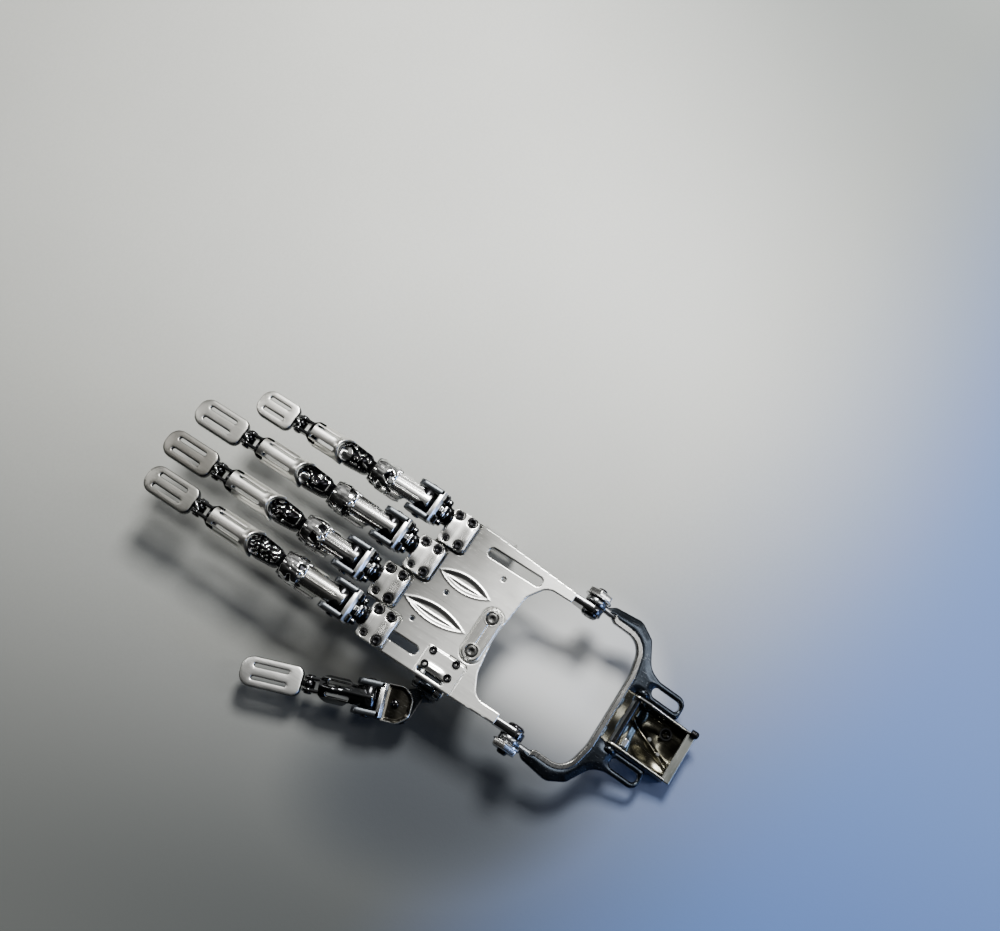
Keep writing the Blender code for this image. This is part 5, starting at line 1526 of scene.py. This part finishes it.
def build_floor():
    """A pale floor: a level sheet, far wider than the view, with painted shade near the hand, a painted blue
    cast, a painted pool of light and a painted shadow.
    """
    half, rows = 2.2, 24
    side = np.linspace(-half, half, rows)
    x, y = np.meshgrid(side, side, indexing="ij")
    points = np.stack([x + 0.08, y, np.full_like(x, -0.0004)], -1).reshape(-1, 3)
    i, j = np.meshgrid(np.arange(rows - 1), np.arange(rows - 1), indexing="ij")
    first = (i * rows + j).ravel()
    mesh = bpy.data.meshes.new("floor")
    faces = np.stack([first, first + rows, first + rows + 1, first + 1], 1)
    mesh.from_pydata(points.tolist(), [], faces.tolist())
    floor = bpy.data.objects.new("floor", mesh)
    bpy.context.scene.collection.objects.link(floor)
    f = Finish("pale_floor")
    x, y, _ = f.split(f.place)
    aside = x * float(IMAGE_RIGHT[0]) + y * float(IMAGE_RIGHT[1]) - float(CAMERA_TARGET @ IMAGE_RIGHT)
    above = x * float(IMAGE_UP[0]) + y * float(IMAGE_UP[1]) - float(CAMERA_TARGET @ IMAGE_UP)
    speck = f.noise(700, detail=4, rough=0.7)
    cloud = f.noise(7, detail=3)
    grey = f.blend(f.ramp(speck * 0.5 + cloud * 0.5, 0.3, 0.7), (0.50, 0.505, 0.475), (0.56, 0.565, 0.535))
    near = f.ramp(aside * aside + above * above, 0.30, 0.12)
    # Painted shade: near the hand the floor darkens towards the bottom of the view.
    low = f.ramp(0.12 - above - aside * 0.15, -0.04, 0.34) * near
    shaded = f.blend(low, grey, (0.055, 0.060, 0.060))
    # Painted shade: left of the hand the floor darkens.
    beside = f.ramp(-0.05 - aside, 0.0, 0.30) * near * 0.4
    shaded = f.blend(beside, shaded, (0.20, 0.205, 0.19))
    # Painted shade: the floor darkens towards the right.
    far_right = f.ramp(aside * 0.8 + above * 0.3, 0.06, 0.26) * near * 0.9
    shaded = f.blend(far_right, shaded, (0.17, 0.185, 0.178))
    # Painted light: a blue cast on the floor to the lower right, standing in for blue light.
    cool = f.ramp(aside * 0.75 - above * 0.55, 0.05, 0.21) * near * 0.9
    shaded = f.blend(cool, shaded, (0.060, 0.135, 0.36))

    def painted_pool(at_aside, at_above, across_size, tall, share):
        """A soft oval pool of painted light and shade: its share at the middle, none beyond these half sizes,
        all in metres.
        """
        x_run, y_run = (aside - at_aside) * (1 / across_size), (above - at_above) * (1 / tall)
        return f.ramp(x_run * x_run + y_run * y_run, 1.0, 0.0) * share

    # Painted light: a pale pool on the floor seen through the wrist opening.
    shaded = f.blend(painted_pool(0.031, -0.094, 0.052, 0.050, 0.75), shaded, (0.62, 0.63, 0.64))
    # Painted shadow: a dark pool on the floor below the hand, between thumb and wrist.
    colour = f.blend(painted_pool(-0.026, -0.140, 0.085, 0.055, 0.92), shaded, (0.020, 0.026, 0.034))
    roughness = 0.55 + (speck - 0.5) * 0.1
    mesh.materials.append(f.set(base_color=colour, roughness=roughness, normal=f.bump(speck, 0.15, 0.0002)))


def soft_light(name, aside, above, height, width, length, power, colour=(1, 1, 1), aim=(0, 0, 0)):
    """An area light placed along the image's right and up directions from the hand's middle, in metres."""
    data = bpy.data.lights.new(name, "AREA")
    data.shape = "RECTANGLE"
    data.size, data.size_y, data.energy, data.color = width, length, power, colour
    light = bpy.data.objects.new(name, data)
    bpy.context.scene.collection.objects.link(light)
    light.location = IMAGE_RIGHT * aside + IMAGE_UP * above + np.array([0, 0, height])
    light.rotation_mode = "QUATERNION"
    light.rotation_quaternion = (Vector(aim) - light.location).to_track_quat("-Z", "Y")


def build_room():
    """A dark room with a bright side: its tone follows how far a direction leans to the upper right."""
    build_floor()
    world = bpy.data.worlds.new("studio")
    bpy.context.scene.world = world
    world.use_nodes = True
    tree = world.node_tree
    where = tree.nodes.new("ShaderNodeTexCoord")
    lean = tree.nodes.new("ShaderNodeVectorMath")
    lean.operation = "DOT_PRODUCT"
    tree.links.new(where.outputs["Generated"], lean.inputs[0])
    lean.inputs[1].default_value = tuple(IMAGE_RIGHT * 0.45 + IMAGE_UP * 0.55 + np.array([0, 0, 0.70]))
    ramp = tree.nodes.new("ShaderNodeValToRGB")
    tree.links.new(lean.outputs["Value"], ramp.inputs[0])
    stops = [
        (0.0, 0.012),
        (0.25, 0.035),
        (0.42, 0.22),
        (0.50, 0.06),
        (0.66, 0.10),
        (0.78, 0.62),
        (0.90, 0.38),
        (1.0, 0.85),
    ]
    while len(ramp.color_ramp.elements) < len(stops):
        ramp.color_ramp.elements.new(0.5)
    for element, (position, tone) in zip(ramp.color_ramp.elements, stops):
        element.position = position
        element.color = (tone, tone, tone * 0.98, 1)
    background = tree.nodes["Background"]
    tree.links.new(ramp.outputs[0], background.inputs[0])
    background.inputs[1].default_value = 0.65
    soft_light("key", 0.24, 0.50, 0.76, 0.24, 0.24, 17, (1.0, 0.995, 0.965))
    soft_light("side", 0.62, -0.05, 0.55, 0.10, 0.5, 2.2, (0.97, 0.98, 1.0))
    soft_light("cool", 0.75, -0.45, 0.30, 0.25, 0.25, 2.6, (0.30, 0.50, 1.0), aim=(0.12, -0.12, 0))
    soft_light("strip", -0.55, 0.45, 0.55, 0.06, 0.6, 1.2, (1.0, 0.99, 0.96))


def build_camera():
    data = bpy.data.cameras.new("camera")
    data.sensor_width = 36
    data.lens = 44
    data.clip_start = 0.01
    camera = bpy.data.objects.new("camera", data)
    bpy.context.scene.collection.objects.link(camera)
    back = np.array([
        math.sin(CAMERA_AZIMUTH) * math.cos(CAMERA_ELEVATION),
        -math.cos(CAMERA_AZIMUTH) * math.cos(CAMERA_ELEVATION),
        math.sin(CAMERA_ELEVATION),
    ])
    camera.location = CAMERA_TARGET + back * CAMERA_DISTANCE
    camera.rotation_mode = "QUATERNION"
    camera.rotation_quaternion = Vector(-back).to_track_quat("-Z", "Y")
    bpy.context.scene.camera = camera


build_palm()
build_anchor()
for finger in FINGERS:
    build_mount(finger)
    build_fork(finger)
    build_proximal(finger)
    build_middle(finger)
    build_tip(finger)
build_thumb_fork()
build_thumb_link()
build_thumb_arm()
build_thumb_mount()
build_wrist()
build_clevis()
build_room()
build_camera()
